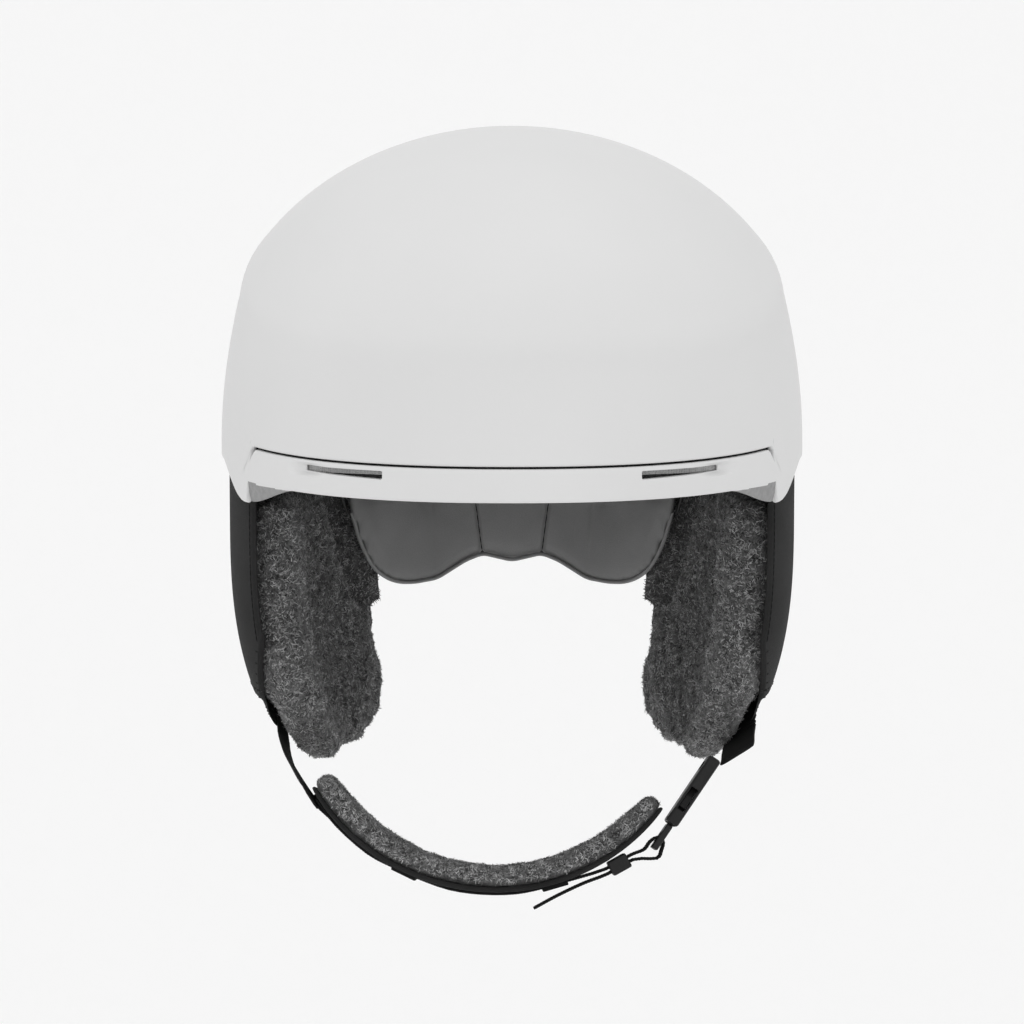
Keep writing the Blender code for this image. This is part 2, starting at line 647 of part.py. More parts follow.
def make_buckle(body):
    """The side-release buckle: the socket on the right strap, and the plug and its two prongs."""
    turn = Matrix.Rotation(CHIN_TILT, 3, "X") @ Matrix.Rotation(BUCKLE_LEAN, 3, "Y")
    socket = add_empty("buckle_socket_axes", tilted(BUCKLE_MOUTH), turn.to_euler())
    plug = add_empty("buckle_plug_axes", BUCKLE_MOUTH - STRAP_TURN, (0.0, BUCKLE_LEAN, 0.0), body)
    case = add_box("buckle_socket", (0.0050, 0.0250, 0.0297), (0, 0, 0.01485), "plastic", socket, 0.0010)
    boolean(case, box_mesh((0.0034, 0.0218, 0.0400), (0, 0, 0.0000)), "DIFFERENCE")
    boolean(case, box_mesh((0.0030, 0.0300, 0.0100), (0, 0, 0.0110)), "DIFFERENCE")
    boolean(case, box_mesh((0.0080, 0.0165, 0.0038), (0, 0, 0.0250)), "DIFFERENCE")
    base = add_box("buckle_plug", (0.0024, 0.0210, 0.0106), (0, 0, -0.0059), "plastic", plug, 0.0004)
    boolean(base, box_mesh((0.0080, 0.0162, 0.0048), (0, 0, -0.0066)), "DIFFERENCE")
    boolean(base, box_mesh((0.0022, 0.0050, 0.0170), (0, 0, 0.0070)), "UNION")
    for side, word in ((-1.0, "front"), (1.0, "rear")):
        hinge = add_empty("prong_body_" + word, (0, side * 0.0070, 0.0), parent=plug)
        outline = [(-0.0010, 0.0), (0.0010, 0.0), (0.0012, 0.0065), (0.0031, 0.0075), (0.0024, 0.0125)]
        outline += [(0.0010, 0.0160), (-0.0004, 0.0150), (-0.0008, 0.0080)]
        points = [Vector((0.0, side * y, z)) for y, z in outline]
        add_object("buckle_prong_" + word, extruded(points, Vector((0.0024, 0.0, 0.0))), "plastic", hinge)


def make_helmet():
    """Build every piece."""
    clear_scene()
    make_shell()
    make_brim()
    make_lining()
    cradle = add_empty("cradle_body", (0.0, CRADLE_Y, DIAL.z))
    chin = add_empty("chin_body", tilted(STRAP_TURN), (CHIN_TILT, 0.0, 0.0))
    for side, word in ((-1.0, "left"), (1.0, "right")):
        make_ear_pad(side, word)
        make_fit_band(side, word)
    make_cradle(cradle)
    make_height_rail()
    make_dial(cradle)
    make_goggle_clip()
    make_straps()
    make_chin(chin)
    make_buckle(chin)


make_helmet()
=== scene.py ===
"""The looks of a matte white ski helmet with fleece ear pads and a buckled chin strap.

Metres, +Z up, and the wearer faces -Y. The file follows the helmet as it is put together.
"""
import math
import random

import bmesh
import bpy
from mathutils import Euler, Matrix, Vector, noise


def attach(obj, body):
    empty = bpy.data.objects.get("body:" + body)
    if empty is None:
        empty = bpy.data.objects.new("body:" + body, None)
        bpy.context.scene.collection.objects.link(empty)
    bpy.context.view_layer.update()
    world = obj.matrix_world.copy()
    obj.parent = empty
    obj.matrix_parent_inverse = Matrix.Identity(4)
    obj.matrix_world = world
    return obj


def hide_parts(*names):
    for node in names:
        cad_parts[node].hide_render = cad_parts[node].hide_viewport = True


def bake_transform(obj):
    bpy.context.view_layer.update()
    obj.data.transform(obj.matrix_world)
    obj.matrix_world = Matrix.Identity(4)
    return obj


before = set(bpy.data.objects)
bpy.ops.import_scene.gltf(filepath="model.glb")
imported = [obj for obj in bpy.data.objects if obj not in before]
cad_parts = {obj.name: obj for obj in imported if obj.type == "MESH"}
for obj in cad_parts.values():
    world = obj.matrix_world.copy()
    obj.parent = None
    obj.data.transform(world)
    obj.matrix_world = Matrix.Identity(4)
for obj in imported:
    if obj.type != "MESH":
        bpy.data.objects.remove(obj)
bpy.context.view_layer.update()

scene = bpy.context.scene

# The studio: a pale paper sweep that curves up behind the helmet, which floats well above it,
# and a few large soft boxes. The camera stands in front, a little above the brow.
SWEEP_DEPTH = -0.85
HEAD_OPENING = -0.0174
VIEW_DISTANCE = 1.5
VIEW_HEIGHT = math.radians(6.0)


def node(material, kind, inputs=None, **settings):
    """One shader node. An input is a value, or an output socket to link."""
    tree = getattr(material, "node_tree", material)
    made = tree.nodes.new(kind)
    for key, value in settings.items():
        setattr(made, key, value)
    for key, value in (inputs or {}).items():
        if isinstance(value, bpy.types.NodeSocket):
            tree.links.new(value, made.inputs[key])
        else:
            made.inputs[key].default_value = value
    return made


def new_material(name, roughness, **constants):
    """A material and its Principled shader, with the constants set on the shader's sockets."""
    material = bpy.data.materials.new(name)
    material.use_nodes = True
    shader = material.node_tree.nodes["Principled BSDF"]
    shader.inputs["Roughness"].default_value = roughness
    for key, value in constants.items():
        shader.inputs[key.replace("_", " ")].default_value = value
    return material, shader


def ramp(material, factor, stops):
    """A colour ramp through grey levels: stops are (place, level) pairs."""
    made = node(material, "ShaderNodeValToRGB", {"Fac": factor})
    for place, level in stops[1:-1]:
        made.color_ramp.elements.new(place)
    for element, (place, level) in zip(made.color_ramp.elements, stops):
        element.position = place
        element.color = (level, level, level, 1.0)
    return made.outputs["Color"]


def relief(material, height, strength, distance):
    """A bump made from a height."""
    return node(material, "ShaderNodeBump", {"Height": height, "Strength": strength, "Distance": distance})


def wire(shader, colour, bump, rough=None):
    """Link a finish's colour, bump and roughness to its shader."""
    links = shader.id_data.links
    links.new(colour, shader.inputs["Base Color"])
    links.new(bump.outputs["Normal"], shader.inputs["Normal"])
    if rough:
        links.new(rough.outputs["Result"], shader.inputs["Roughness"])


def paper():
    """Seamless studio paper: pale, dull, with the faintest tooth."""
    material, shader = new_material("studio_paper", 0.9)
    place = node(material, "ShaderNodeTexCoord").outputs["Object"]
    tooth = node(material, "ShaderNodeTexNoise", {"Vector": place, "Scale": 40.0, "Detail": 4.0})
    colour = ramp(material, tooth.outputs["Fac"], [(0.0, 0.965), (1.0, 0.975)])
    material.node_tree.links.new(colour, shader.inputs["Base Color"])
    return material


def make_sweep():
    """Floor and wall in one sheet with a wide bend between them."""
    profile = [(-6.0, SWEEP_DEPTH)]
    profile += [(2.0 + 1.2 * math.sin(turn), SWEEP_DEPTH + 1.2 * (1.0 - math.cos(turn)))
                for turn in [math.pi / 2 * i / 16 for i in range(17)]]
    profile.append((3.2, 4.5))
    verts = [(x, y, z) for x in (-5.0, 5.0) for y, z in profile]
    count = len(profile)
    faces = [(i, i + 1, count + i + 1, count + i) for i in range(count - 1)]
    mesh = bpy.data.meshes.new("paper_sweep")
    mesh.from_pydata(verts, [], faces)
    mesh.shade_smooth()
    sweep = bpy.data.objects.new("paper_sweep", mesh)
    scene.collection.objects.link(sweep)
    mesh.materials.append(paper())


def add_softbox(name, size, power, place, aim=(0.0, 0.0, 0.0)):
    """A square area light at place that points at aim."""
    light = bpy.data.lights.new(name, "AREA")
    light.size = size
    light.energy = power
    box = bpy.data.objects.new(name, light)
    box.location = place
    box.rotation_euler = (Vector(aim) - Vector(place)).to_track_quat("-Z", "Y").to_euler()
    scene.collection.objects.link(box)


def make_studio():
    """Even light from all round, and a softbox high in front for the gentle fall down the dome."""
    world = bpy.data.worlds.new("studio_air")
    world.use_nodes = True
    world.node_tree.nodes["Background"].inputs["Color"].default_value = (1.0, 1.0, 1.0, 1.0)
    world.node_tree.nodes["Background"].inputs["Strength"].default_value = 0.915
    scene.world = world
    scene.view_settings.view_transform = "Standard"
    add_softbox("top_softbox", 1.6, 8.0, (0.0, -0.6, 2.2))
    add_softbox("front_softbox", 1.4, 3.4, (-0.3, -2.4, 0.3))
    camera = bpy.data.cameras.new("camera")
    camera.lens = 136.6
    camera.sensor_width = 36.0
    stand = bpy.data.objects.new("camera", camera)
    back = Vector((0.0, -math.cos(VIEW_HEIGHT), math.sin(VIEW_HEIGHT)))
    stand.location = Vector((0.0, 0.0, HEAD_OPENING)) + back * VIEW_DISTANCE
    stand.rotation_euler = (math.pi / 2 - VIEW_HEIGHT, 0.0, 0.0)
    scene.collection.objects.link(stand)
    scene.camera = stand


make_sweep()
make_studio()

# The outer shell: one hard moulding with a satin-matt white finish. Its form is an egg-shaped plan
# carried up a dome, with a steeper wall under a soft crease that dips at the front. The lower edge
# has a rolled lip, and steps up over the brow to leave the notch that the brow panel fills.
CROWN = 0.1310
HALF_WIDTH = 0.1108
FRONT = 0.1370
BACK = 0.1400
PLAN_POWER = 2.4
WIDEST = 0.0106
CREASE_SIDE = 0.046
CREASE_FRONT = 0.077
CREASE_SOFT = 0.008
CORNER = 48.7
CORNER_ROUND = 1.1
GAP = 0.0004
SHELL = 0.0024
TEMPLE_ROWS_FROM = 0.019


def smooth(x):
    """0 below 0, 1 above 1, and an even S-curve between them."""
    x = min(max(x, 0.0), 1.0)
    return x * x * (3.0 - 2.0 * x)


def lerp(a, b, share):
    """The value at share of the way from a to b."""
    return a + (b - a) * share


def plan(phi, half_width, front, back, power):
    """A point on an egg-shaped outline, phi round from the front."""
    length = front if math.cos(phi) > 0.0 else back
    across = abs(math.sin(phi)) / half_width
    along = abs(math.cos(phi)) / length
    reach = (across**power + along**power) ** (-1.0 / power)
    return Vector((reach * math.sin(phi), -reach * math.cos(phi), 0.0))


def dome(drop):
    """The share of the full plan that a round dome has at this drop below the crown."""
    return 0.1118 / HALF_WIDTH * math.sqrt(max(1.0 - (1.0 - drop / 0.0918) ** 2, 0.0))


def wall(drop, crease):
    """The same for the steeper wall, which starts from the dome at the crease."""
    left = 1.0 - (drop - crease) / (CROWN - WIDEST - crease)
    return 1.0 - (1.0 - dome(crease)) * left * abs(left)


def fullness(phi, z):
    """The share of the full plan that the outer form has at height z."""
    crease = lerp(CREASE_SIDE, CREASE_FRONT, smooth(math.cos(phi)))
    drop = CROWN - z
    if z < WIDEST:
        return 1.0 - 0.10 * smooth(-math.cos(phi)) * ((WIDEST - z) / 0.04) ** 2
    if drop < crease - CREASE_SOFT:
        return dome(drop)
    share = smooth((drop - crease + CREASE_SOFT) / (2.0 * CREASE_SOFT))
    return lerp(dome(min(drop, 0.0917)), wall(drop, crease), share)


def form(phi, z):
    """A point on the helmet's outer form."""
    point = plan(phi, HALF_WIDTH, FRONT, BACK, PLAN_POWER) * fullness(phi, z)
    point.z = z
    return point


def inside_form(phi, z, inset):
    """A point inset square from the outer form, inwards."""
    if CROWN - z < 1e-6:
        return Vector((0.0, 0.0, CROWN - inset))
    turn, step = 1e-3, min(5e-5, (CROWN - z) / 2.0)
    around = form(phi + turn, z) - form(phi - turn, z)
    down = form(phi, z - step) - form(phi, z + step)
    return form(phi, z) - down.cross(around).normalized() * inset


def gap_line(phi):
    """The height of the line where the brow panel meets the shell."""
    return 0.0123 + 0.0027 * (math.degrees(phi) / CORNER) ** 2


def shell_rim(phi):
    """The height of the shell's lower edge, with the notch's corner rounded."""
    angle = abs(math.degrees(phi))
    if angle < CORNER:
        round_in = max(angle - CORNER + CORNER_ROUND, 0.0) / CORNER_ROUND
        return gap_line(phi) + GAP - 0.0024 * (1.0 - math.sqrt(1.0 - round_in**2))
    side = lerp(-0.0057, 0.0066, smooth((angle - CORNER - 1.0) / 20.0))
    return side + (-0.0240 - side) * smooth((angle - 110.0) / 55.0)


def lean_corner(angle, z):
    """The angle of a column at height z: below the gap line, the notch's sides lean outwards."""
    down = (0.0150 - z) / 0.0207
    lean = 4.0 * smooth(down / 0.6) - 1.8 * smooth((down - 0.6) / 0.4)
    return angle + math.copysign(lean * math.exp(-(((abs(angle) - CORNER) / 6.0) ** 2)), angle)


def round_columns():
    """Angles right round the helmet, in degrees, close together at the notch's corners."""
    coarse = [1.5 * i for i in range(31)]
    fine = [CORNER - CORNER_ROUND * share for share in (2.2, 1.4, 1.0, 0.8, 0.6, 0.4, 0.25, 0.12, 0.04, 0.0)]
    beyond = [CORNER + step for step in (0.02, 0.5, 1.5, 3.0)] + [54.0 + 1.5 * i for i in range(85)]
    half = [angle for angle in coarse if angle < fine[0] - 0.5] + fine + beyond
    return [-angle for angle in reversed(half[1:-1])] + half


def lofted(name, columns, rows, point, closed_columns, closed_rows=False):
    """A mesh through point(column, row), with doubled points welded and open ends filled."""
    verts = [point(column, row) for column in columns for row in rows]
    across, along = len(rows), len(columns)
    faces = []
    for i in range(along if closed_columns else along - 1):
        for j in range(across if closed_rows else across - 1):
            k, m = (i + 1) % along, (j + 1) % across
            faces.append((i * across + j, k * across + j, k * across + m, i * across + m))
    mesh = bpy.data.meshes.new(name)
    mesh.from_pydata(verts, [], faces)
    bm = bmesh.new()
    bm.from_mesh(mesh)
    bmesh.ops.remove_doubles(bm, verts=bm.verts[:], dist=1e-6)
    bmesh.ops.holes_fill(bm, edges=[edge for edge in bm.edges if edge.is_boundary], sides=0)
    bmesh.ops.recalc_face_normals(bm, faces=bm.faces[:])
    if bm.calc_volume(signed=True) < 0.0:
        bmesh.ops.reverse_faces(bm, faces=bm.faces[:])
    bm.to_mesh(mesh)
    bm.free()
    mesh.shade_smooth()
    piece = bpy.data.objects.new(name, mesh)
    scene.collection.objects.link(piece)
    return piece


def dress(piece, material, body, slot, *nodes):
    """Give a piece its material, its body if it has just one, and the nodes it stands for; the slot argument is
    not used.
    """
    piece.data.materials.clear()
    piece.data.materials.append(material)
    if body:
        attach(piece, body)
    if nodes:
        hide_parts(*nodes)
    return piece


def wall_section(count, lip):
    """Places down the outside, round the lip and up the inside: (share of the drop, inset share, lift)."""
    down = [math.sin(math.pi / 2 * i / count) for i in range(count)]
    section = [(share, 0.0, 0.0) for share in down]
    for i in range(9):
        turn = math.pi * i / 8
        section.append((1.0, (1.0 - math.cos(turn)) / 2.0, lip * (1.0 - math.sin(turn))))
    return section + [(share, 1.0, 0.0) for share in reversed(down)]


def matt_white():
    """Moulded white with a satin-matt lacquer: very fine orange peel and a trace of handling."""
    material, shader = new_material("matt_white_lacquer", 0.55, Specular_IOR_Level=0.35)
    place = node(material, "ShaderNodeTexCoord").outputs["Object"]
    drift = node(material, "ShaderNodeTexNoise", {"Vector": place, "Scale": 14.0, "Detail": 3.0})
    colour = ramp(material, drift.outputs["Fac"], [(0.3, 0.672), (0.7, 0.690)])
    peel = node(material, "ShaderNodeTexNoise", {"Vector": place, "Scale": 1500.0, "Detail": 2.0})
    bump = relief(material, peel.outputs["Fac"], 0.12, 0.0002)
    handled = node(material, "ShaderNodeTexNoise", {"Vector": place, "Scale": 60.0, "Detail": 6.0})
    rough = node(material, "ShaderNodeMapRange", {"Value": handled.outputs["Fac"], "To Min": 0.5, "To Max": 0.62})
    wire(shader, colour, bump, rough)
    return material


def make_outer_shell():
    """The shell as one closed skin: down the outside, round the lip and up the inside."""

    def point(angle, place):
        phi = math.radians(angle)
        share, inset, lift = place
        rim = shell_rim(phi)
        upper = 0.9
        if share < upper:
            z = CROWN - (CROWN - TEMPLE_ROWS_FROM) * (1.0 - math.cos(share / upper * math.pi / 2))
        else:
            z = lerp(TEMPLE_ROWS_FROM, rim + 0.0011, (share - upper) / (1.0 - upper))
        if share == 1.0:
            z = rim + lift
        return inside_form(math.radians(lean_corner(angle, z)), z, inset * SHELL)

    shell = lofted("outer_shell_skin", round_columns(), wall_section(64, 0.0011), point, True)
    return dress(shell, white, "root", "shell", "outer_shell")


white = matt_white()
make_outer_shell()

# The brow panel: a separate white moulding clipped into the notch, with a fine dark gap round it.
# Its ends turn under at the temples, where their down-facing undersides are painted a darker grey as painted
# shade, and a long vent slot runs out on each side from a shallow scoop. A strip of open grey mesh sits behind
# each slot.
BRIM = 0.0030
PANEL_REACH = CORNER - 0.45


def rounded_section(count, power):
    """Places round a soft-cornered rectangle, as (across, up), each from 0 to 1."""
    places = []
    for i in range(count):
        turn = 2.0 * math.pi * (i + 0.5) / count
        x, y = math.cos(turn), math.sin(turn)
        reach = (abs(x) ** power + abs(y) ** power) ** (-1.0 / power)
        places.append((0.5 - 0.5 * x * reach, 0.5 + 0.5 * y * reach))
    return places


def slot_frame(side):
    """The middle of a vent slot and its turn about Z and Y."""
    centre = Vector((side * 0.0606, -0.1220, 0.0097))
    turn = Euler((0.0, -side * math.radians(1.6), side * math.radians(32.6)))
    return Matrix.Translation(centre) @ turn.to_matrix().to_4x4()


def make_brow_panel():
    """The panel, scooped at its outer slot ends, then cut through by the two slots."""

    def point(angle, place):
        phi = math.radians(angle)
        inset, up = place
        out = abs(angle) / PANEL_REACH
        low = 0.0024 * out**2 - 0.0075 * smooth((out - 0.74) / 0.26) * smooth(inset * 1.6)
        end = 0.0006 * max(out - 0.985, 0.0) / 0.015
        z = lerp(low, gap_line(phi) - GAP - 0.0022 * max(out - 0.975, 0.0) / 0.025, up)
        phi = math.radians(lean_corner(angle, z))
        scoop = slot_frame(math.copysign(1.0, angle)).inverted() @ form(phi, z)
        outward = scoop.x * math.copysign(1.0, angle)
        near = smooth((outward - 0.004) / 0.012) * (1.0 - smooth((outward - 0.0165) / 0.0095))
        dent = 0.0022 * near * math.exp(-(((scoop.z + 0.0003) / 0.0019) ** 6))
        return inside_form(phi, z, lerp(end + dent, BRIM, inset))

    columns = [PANEL_REACH * math.sin(math.pi / 2 * (i / 170)) for i in range(-170, 171)]
    panel = lofted("brow_panel_skin", columns, rounded_section(72, 7.0), point, False, True)
    for side in (-1.0, 1.0):
        section = [(0.0168, 0.00155), (-0.0172, 0.00105)]
        outline = []
        for i in range(24):
            turn = 2.0 * math.pi * i / 24
            x, tall = section[0] if math.cos(turn) < 0.0 else section[1]
            outline.append((side * (-x + math.copysign(tall * 0.6, -x) * (abs(math.cos(turn)) ** 0.6 - 1.0)),
                            tall * math.copysign(abs(math.sin(turn)) ** 0.45, math.sin(turn))))
        cutter = lofted("slot_cutter", [-0.012, 0.012], outline,
                        lambda y, xz: Vector((xz[0], y, xz[1])), False, True)
        cutter.matrix_world = slot_frame(side)
        cut = panel.modifiers.new("slot", "BOOLEAN")
        cut.object = cutter
        bpy.context.view_layer.update()
        mesh = bpy.data.meshes.new_from_object(panel.evaluated_get(bpy.context.evaluated_depsgraph_get()))
        panel.modifiers.clear()
        panel.data = mesh
        bpy.data.objects.remove(cutter)
    panel.data.shade_smooth()
    panel.data.set_sharp_from_angle(angle=math.radians(40.0))
    dress(panel, white, "root", "shell", "brim_panel")
    # painted shade: the low faces at the panel's outer ends, which face down, get a darker grey material
    panel.data.materials.append(return_painted_shade())
    for face in panel.data.polygons:
        out = abs(math.degrees(math.atan2(face.center.x, -face.center.y))) / (PANEL_REACH + 2.6)
        if out > 0.70 and face.center.z < 0.0024 * out**2 - 0.00015:
            face.material_index = 1
    return panel


def return_painted_shade():
    """The panel's turned-under ends: a darker grey painted as the shade on their down-facing undersides, a dull
    coat with a little dust in it.
    """
    material, shader = new_material("painted_shade_return", 0.75, Specular_IOR_Level=0.3)
    place = node(material, "ShaderNodeTexCoord").outputs["Object"]
    dust = node(material, "ShaderNodeTexNoise", {"Vector": place, "Scale": 500.0, "Detail": 5.0})
    colour = ramp(material, dust.outputs["Fac"], [(0.3, 0.25), (0.7, 0.31)])
    bump = relief(material, dust.outputs["Fac"], 0.2, 0.0002)
    wire(shader, colour, bump)
    return material


make_brow_panel()

# The vent screens: strips of grey moulded mesh clipped behind the brow panel. Each covers the top
# of its slot and narrows towards the middle, so the slot shows black below it.
SCREEN_NEAR = 0.00335
SCREEN_FAR = 0.00385


def mesh_grey():
    """Grey nylon mesh: small round holes in rows, each painted darker inside as painted shade."""
    material, shader = new_material("vent_mesh_grey", 0.6, Specular_IOR_Level=0.4)
    place = node(material, "ShaderNodeTexCoord").outputs["Object"]
    holes = node(material, "ShaderNodeTexVoronoi", {"Vector": place, "Scale": 1700.0, "Randomness": 0.35})
    # painted shade: the colour darkens towards each hole's centre
    colour = ramp(material, holes.outputs["Distance"], [(0.1, 0.12), (0.45, 0.42)])
    bump = relief(material, holes.outputs["Distance"], 0.6, 0.0003)
    wire(shader, colour, bump)
    return material


def make_vent_screen(side, word, material):
    """One screen, a thin strip that follows the panel's inner face."""

    def point(share, section):
        across, up = section
        local = Vector((side * lerp(-0.0185, 0.0185, share), 0.0, 0.0))
        spot = slot_frame(side) @ local
        phi = math.atan2(spot.x, -spot.y)
        low = spot.z + lerp(-0.0002, -0.0012, smooth(share / 0.9))
        return inside_form(phi, lerp(low, spot.z + 0.0022, up), lerp(SCREEN_NEAR, SCREEN_FAR, across))

    shares = [i / 40 for i in range(41)]
    strip = lofted("vent_screen_" + word, shares, rounded_section(24, 6.0), point, False, True)
    return dress(strip, material, "root", "lining")


screen_mesh = mesh_grey()
for side, word in ((-1.0, "left"), (1.0, "right")):
    make_vent_screen(side, word, screen_mesh)

# The foam liner: black expanded foam moulded inside the shell, with a beaded skin, a rounded rim
# and air channels that run from the front to the back between the comfort pads.
FOAM_OUTSIDE = 0.0042
FOAM_INSIDE = 0.0250
CHANNELS = (22.0, 62.0, 124.0, 160.0)


def foam_rim(phi):
    """The height of the foam's lower edge."""
    angle = abs(math.degrees(phi))
    side = 0.0030 + 0.0052 * smooth((angle - CORNER - 1.0) / 20.0)
    nape = -0.0220 + 0.008 * smooth((angle - 162.0) / 7.0)
    return side + (nape - side) * smooth((angle - 110.0) / 55.0)


def beaded_black():
    """Moulded foam beads: a flat cell pattern with fine seams and a slight sheen on each bead."""
    material, shader = new_material("black_foam_beads", 0.75, Specular_IOR_Level=0.35)
    place = node(material, "ShaderNodeTexCoord").outputs["Object"]
    beads = node(material, "ShaderNodeTexVoronoi", {"Vector": place, "Scale": 330.0}, feature="DISTANCE_TO_EDGE")
    shade = node(material, "ShaderNodeTexNoise", {"Vector": place, "Scale": 90.0, "Detail": 3.0})
    seam = node(material, "ShaderNodeMapRange", {"Value": beads.outputs["Distance"], "From Max": 0.12})
    both = node(material, "ShaderNodeMath", {0: seam.outputs["Result"], 1: shade.outputs["Fac"]},
                operation="MULTIPLY")
    colour = ramp(material, both.outputs["Value"], [(0.0, 0.012), (0.7, 0.034)])
    bump = relief(material, seam.outputs["Result"], 0.5, 0.0003)
    rough = node(material, "ShaderNodeMapRange", {"Value": shade.outputs["Fac"], "To Min": 0.6, "To Max": 0.9})
    wire(shader, colour, bump, rough)
    return material


def make_foam_liner():
    """The foam as one closed skin, with its channels pressed into the inner face."""

    def point(angle, place):
        phi = math.radians(angle)
        share, inset, lift = place
        rim = foam_rim(phi)
        z = CROWN - (CROWN - rim - 0.003) * (1.0 - math.cos(share * math.pi / 2))
        if share == 1.0:
            z = rim + lift
        groove = max(math.exp(-((abs(angle) - middle) / 4.5) ** 2) for middle in CHANNELS)
        dip = groove * smooth((0.100 - z) / 0.03) * smooth((z - rim - 0.008) / 0.012)
        return inside_form(phi, z, lerp(FOAM_OUTSIDE, FOAM_INSIDE - 0.0045 * dip, inset))

    columns = [float(angle) for angle in range(-179, 181)]
    liner = lofted("foam_liner_skin", columns, wall_section(40, 0.003), point, True)
    return dress(liner, beaded_black(), "root", "foam", "foam_liner")


make_foam_liner()

# The comfort pads: thin foam faced with a charcoal knit, stuck inside the foam at the brow, the
# crown and the temples. Padded pieces are cut as flat pillows and then inflated as cloth.
LINING = 0.0050
PAD_FACE = 0.0004


def pillow(name, columns, rows, place, blunt=5.0, blunt_across=None):
    """A closed pillow: place(u, v, depth) gives its points, with depth 0 outside and 1 inside."""
    blunt_across = blunt_across or blunt
    across = [0.5 - 0.5 * math.cos(math.pi * i / rows) for i in range(rows + 1)]
    along = [0.5 - 0.5 * math.cos(math.pi * i / columns) for i in range(columns + 1)]
    section = [(v, 1.0) for v in across] + [(v, -1.0) for v in reversed(across[1:-1])]

    def point(u, spot):
        v, face = spot
        full = max(1.0 - abs(2.0 * u - 1.0) ** blunt, 0.0) ** (1.0 / blunt)
        full *= max(1.0 - abs(2.0 * v - 1.0) ** blunt_across, 0.0) ** (1.0 / blunt_across)
        return place(u, v, 0.5 + 0.5 * face * full)

    return lofted(name, along, section, point, False, True)


def inflate(piece, voxel, pressure, cap):
    """Remesh the piece, blow it up as cloth, hold each point near its start, and keep the result."""
    remesh = piece.modifiers.new("remesh", "REMESH")
    remesh.mode = "VOXEL"
    remesh.voxel_size = voxel
    keep_shape(piece)
    start = [vertex.co.copy() for vertex in piece.data.vertices]
    cloth = piece.modifiers.new("cloth", "CLOTH")
    cloth.settings.use_pressure = True
    cloth.settings.uniform_pressure_force = pressure
    cloth.settings.effector_weights.gravity = 0.0
    cloth.settings.mass = 0.2
    cloth.settings.quality = 6
    cloth.point_cache.frame_start = 1
    cloth.point_cache.frame_end = 20
    for frame_number in range(1, 21):
        scene.frame_set(frame_number)
    keep_shape(piece)
    scene.frame_set(1)
    for vertex, before in zip(piece.data.vertices, start):
        moved = vertex.co - before
        if moved.length > cap:
            vertex.co = before + moved * (cap / moved.length)
    finer = piece.modifiers.new("finer", "SUBSURF")
    finer.levels = finer.render_levels = 1
    keep_shape(piece)
    piece.data.shade_smooth()


def keep_shape(piece):
    """Apply every modifier on the piece."""
    bpy.context.view_layer.update()
    made = bpy.data.meshes.new_from_object(piece.evaluated_get(bpy.context.evaluated_depsgraph_get()))
    piece.modifiers.clear()
    piece.data = made


def knit_group():
    """A node group for knitted cloth: a Height for the stitches and a Shade that drifts over it."""
    group = bpy.data.node_groups.new("knit", "ShaderNodeTree")
    for name, kind in (("Vector", "NodeSocketVector"), ("Stitches", "NodeSocketFloat"),
                       ("Drift", "NodeSocketFloat")):
        group.interface.new_socket(name, in_out="INPUT", socket_type=kind)
    for name in ("Height", "Shade"):
        group.interface.new_socket(name, in_out="OUTPUT", socket_type="NodeSocketFloat")
    start = node(group, "NodeGroupInput")
    cell = node(group, "ShaderNodeTexVoronoi", {"Vector": start.outputs["Vector"], "Randomness": 0.55,
                                                "Scale": start.outputs["Stitches"]})
    fibre = node(group, "ShaderNodeTexNoise", {"Vector": start.outputs["Vector"], "Detail": 5.0,
                                               "Roughness": 0.7, "Scale": start.outputs["Stitches"]})
    drift = node(group, "ShaderNodeTexNoise", {"Vector": start.outputs["Vector"], "Detail": 2.0,
                                               "Scale": start.outputs["Drift"]})
    height = node(group, "ShaderNodeMath", {0: 1.0, 1: cell.outputs["Distance"]}, operation="SUBTRACT")
    fuzzed = node(group, "ShaderNodeMath", {0: height.outputs[0], 1: fibre.outputs["Fac"]}, operation="ADD")
    shade = node(group, "ShaderNodeMath", {0: fibre.outputs["Fac"], 1: drift.outputs["Fac"]}, operation="ADD")
    half = node(group, "ShaderNodeMath", {0: shade.outputs[0], 1: 0.5}, operation="MULTIPLY")
    finish = node(group, "NodeGroupOutput")
    group.links.new(fuzzed.outputs[0], finish.inputs["Height"])
    group.links.new(half.outputs[0], finish.inputs["Shade"])
    return group


def knitted(name, low, high, stitches, depth, sheen):
    """A knit or woven cloth between two grey levels, with its stitches raised by depth."""
    material, shader = new_material(name, 0.9, Specular_IOR_Level=0.15, Sheen_Weight=sheen, Sheen_Roughness=0.5)
    place = node(material, "ShaderNodeTexCoord").outputs["Object"]
    cloth = node(material, "ShaderNodeGroup", node_tree=knit)
    cloth.inputs["Stitches"].default_value = stitches
    cloth.inputs["Drift"].default_value = 45.0
    links = material.node_tree.links
    links.new(place, cloth.inputs["Vector"])
    colour = ramp(material, cloth.outputs["Shade"], [(0.32, low), (0.68, high)])
    bump = relief(material, cloth.outputs["Height"], 0.7, depth)
    wire(shader, colour, bump)
    return material


def lining_point(phi, z, depth):
    """A point in a comfort pad."""
    return inside_form(phi, z, lerp(FOAM_INSIDE + 2.0 * PAD_FACE, FOAM_INSIDE + LINING, depth))


def make_brow_pad():
    """The pad across the brow, with sewn channels every 25 mm or so."""

    def place(u, v, depth):
        phi = math.radians(lerp(-51.5, 51.5, u))
        return lining_point(phi, lerp(0.0066, 0.0294, v), depth)

    pad = pillow("brow_pad_knit", 60, 12, place)
    inflate(pad, 0.0015, 3.0, 0.0006)
    press_seams(pad, lambda co: abs((math.degrees(math.atan2(co.x, -co.y)) + 8.0) % 16.0 - 8.0) * 0.0018,
                0.0008)
    return dress(pad, charcoal_knit, "root", "lining", "brow_pad")


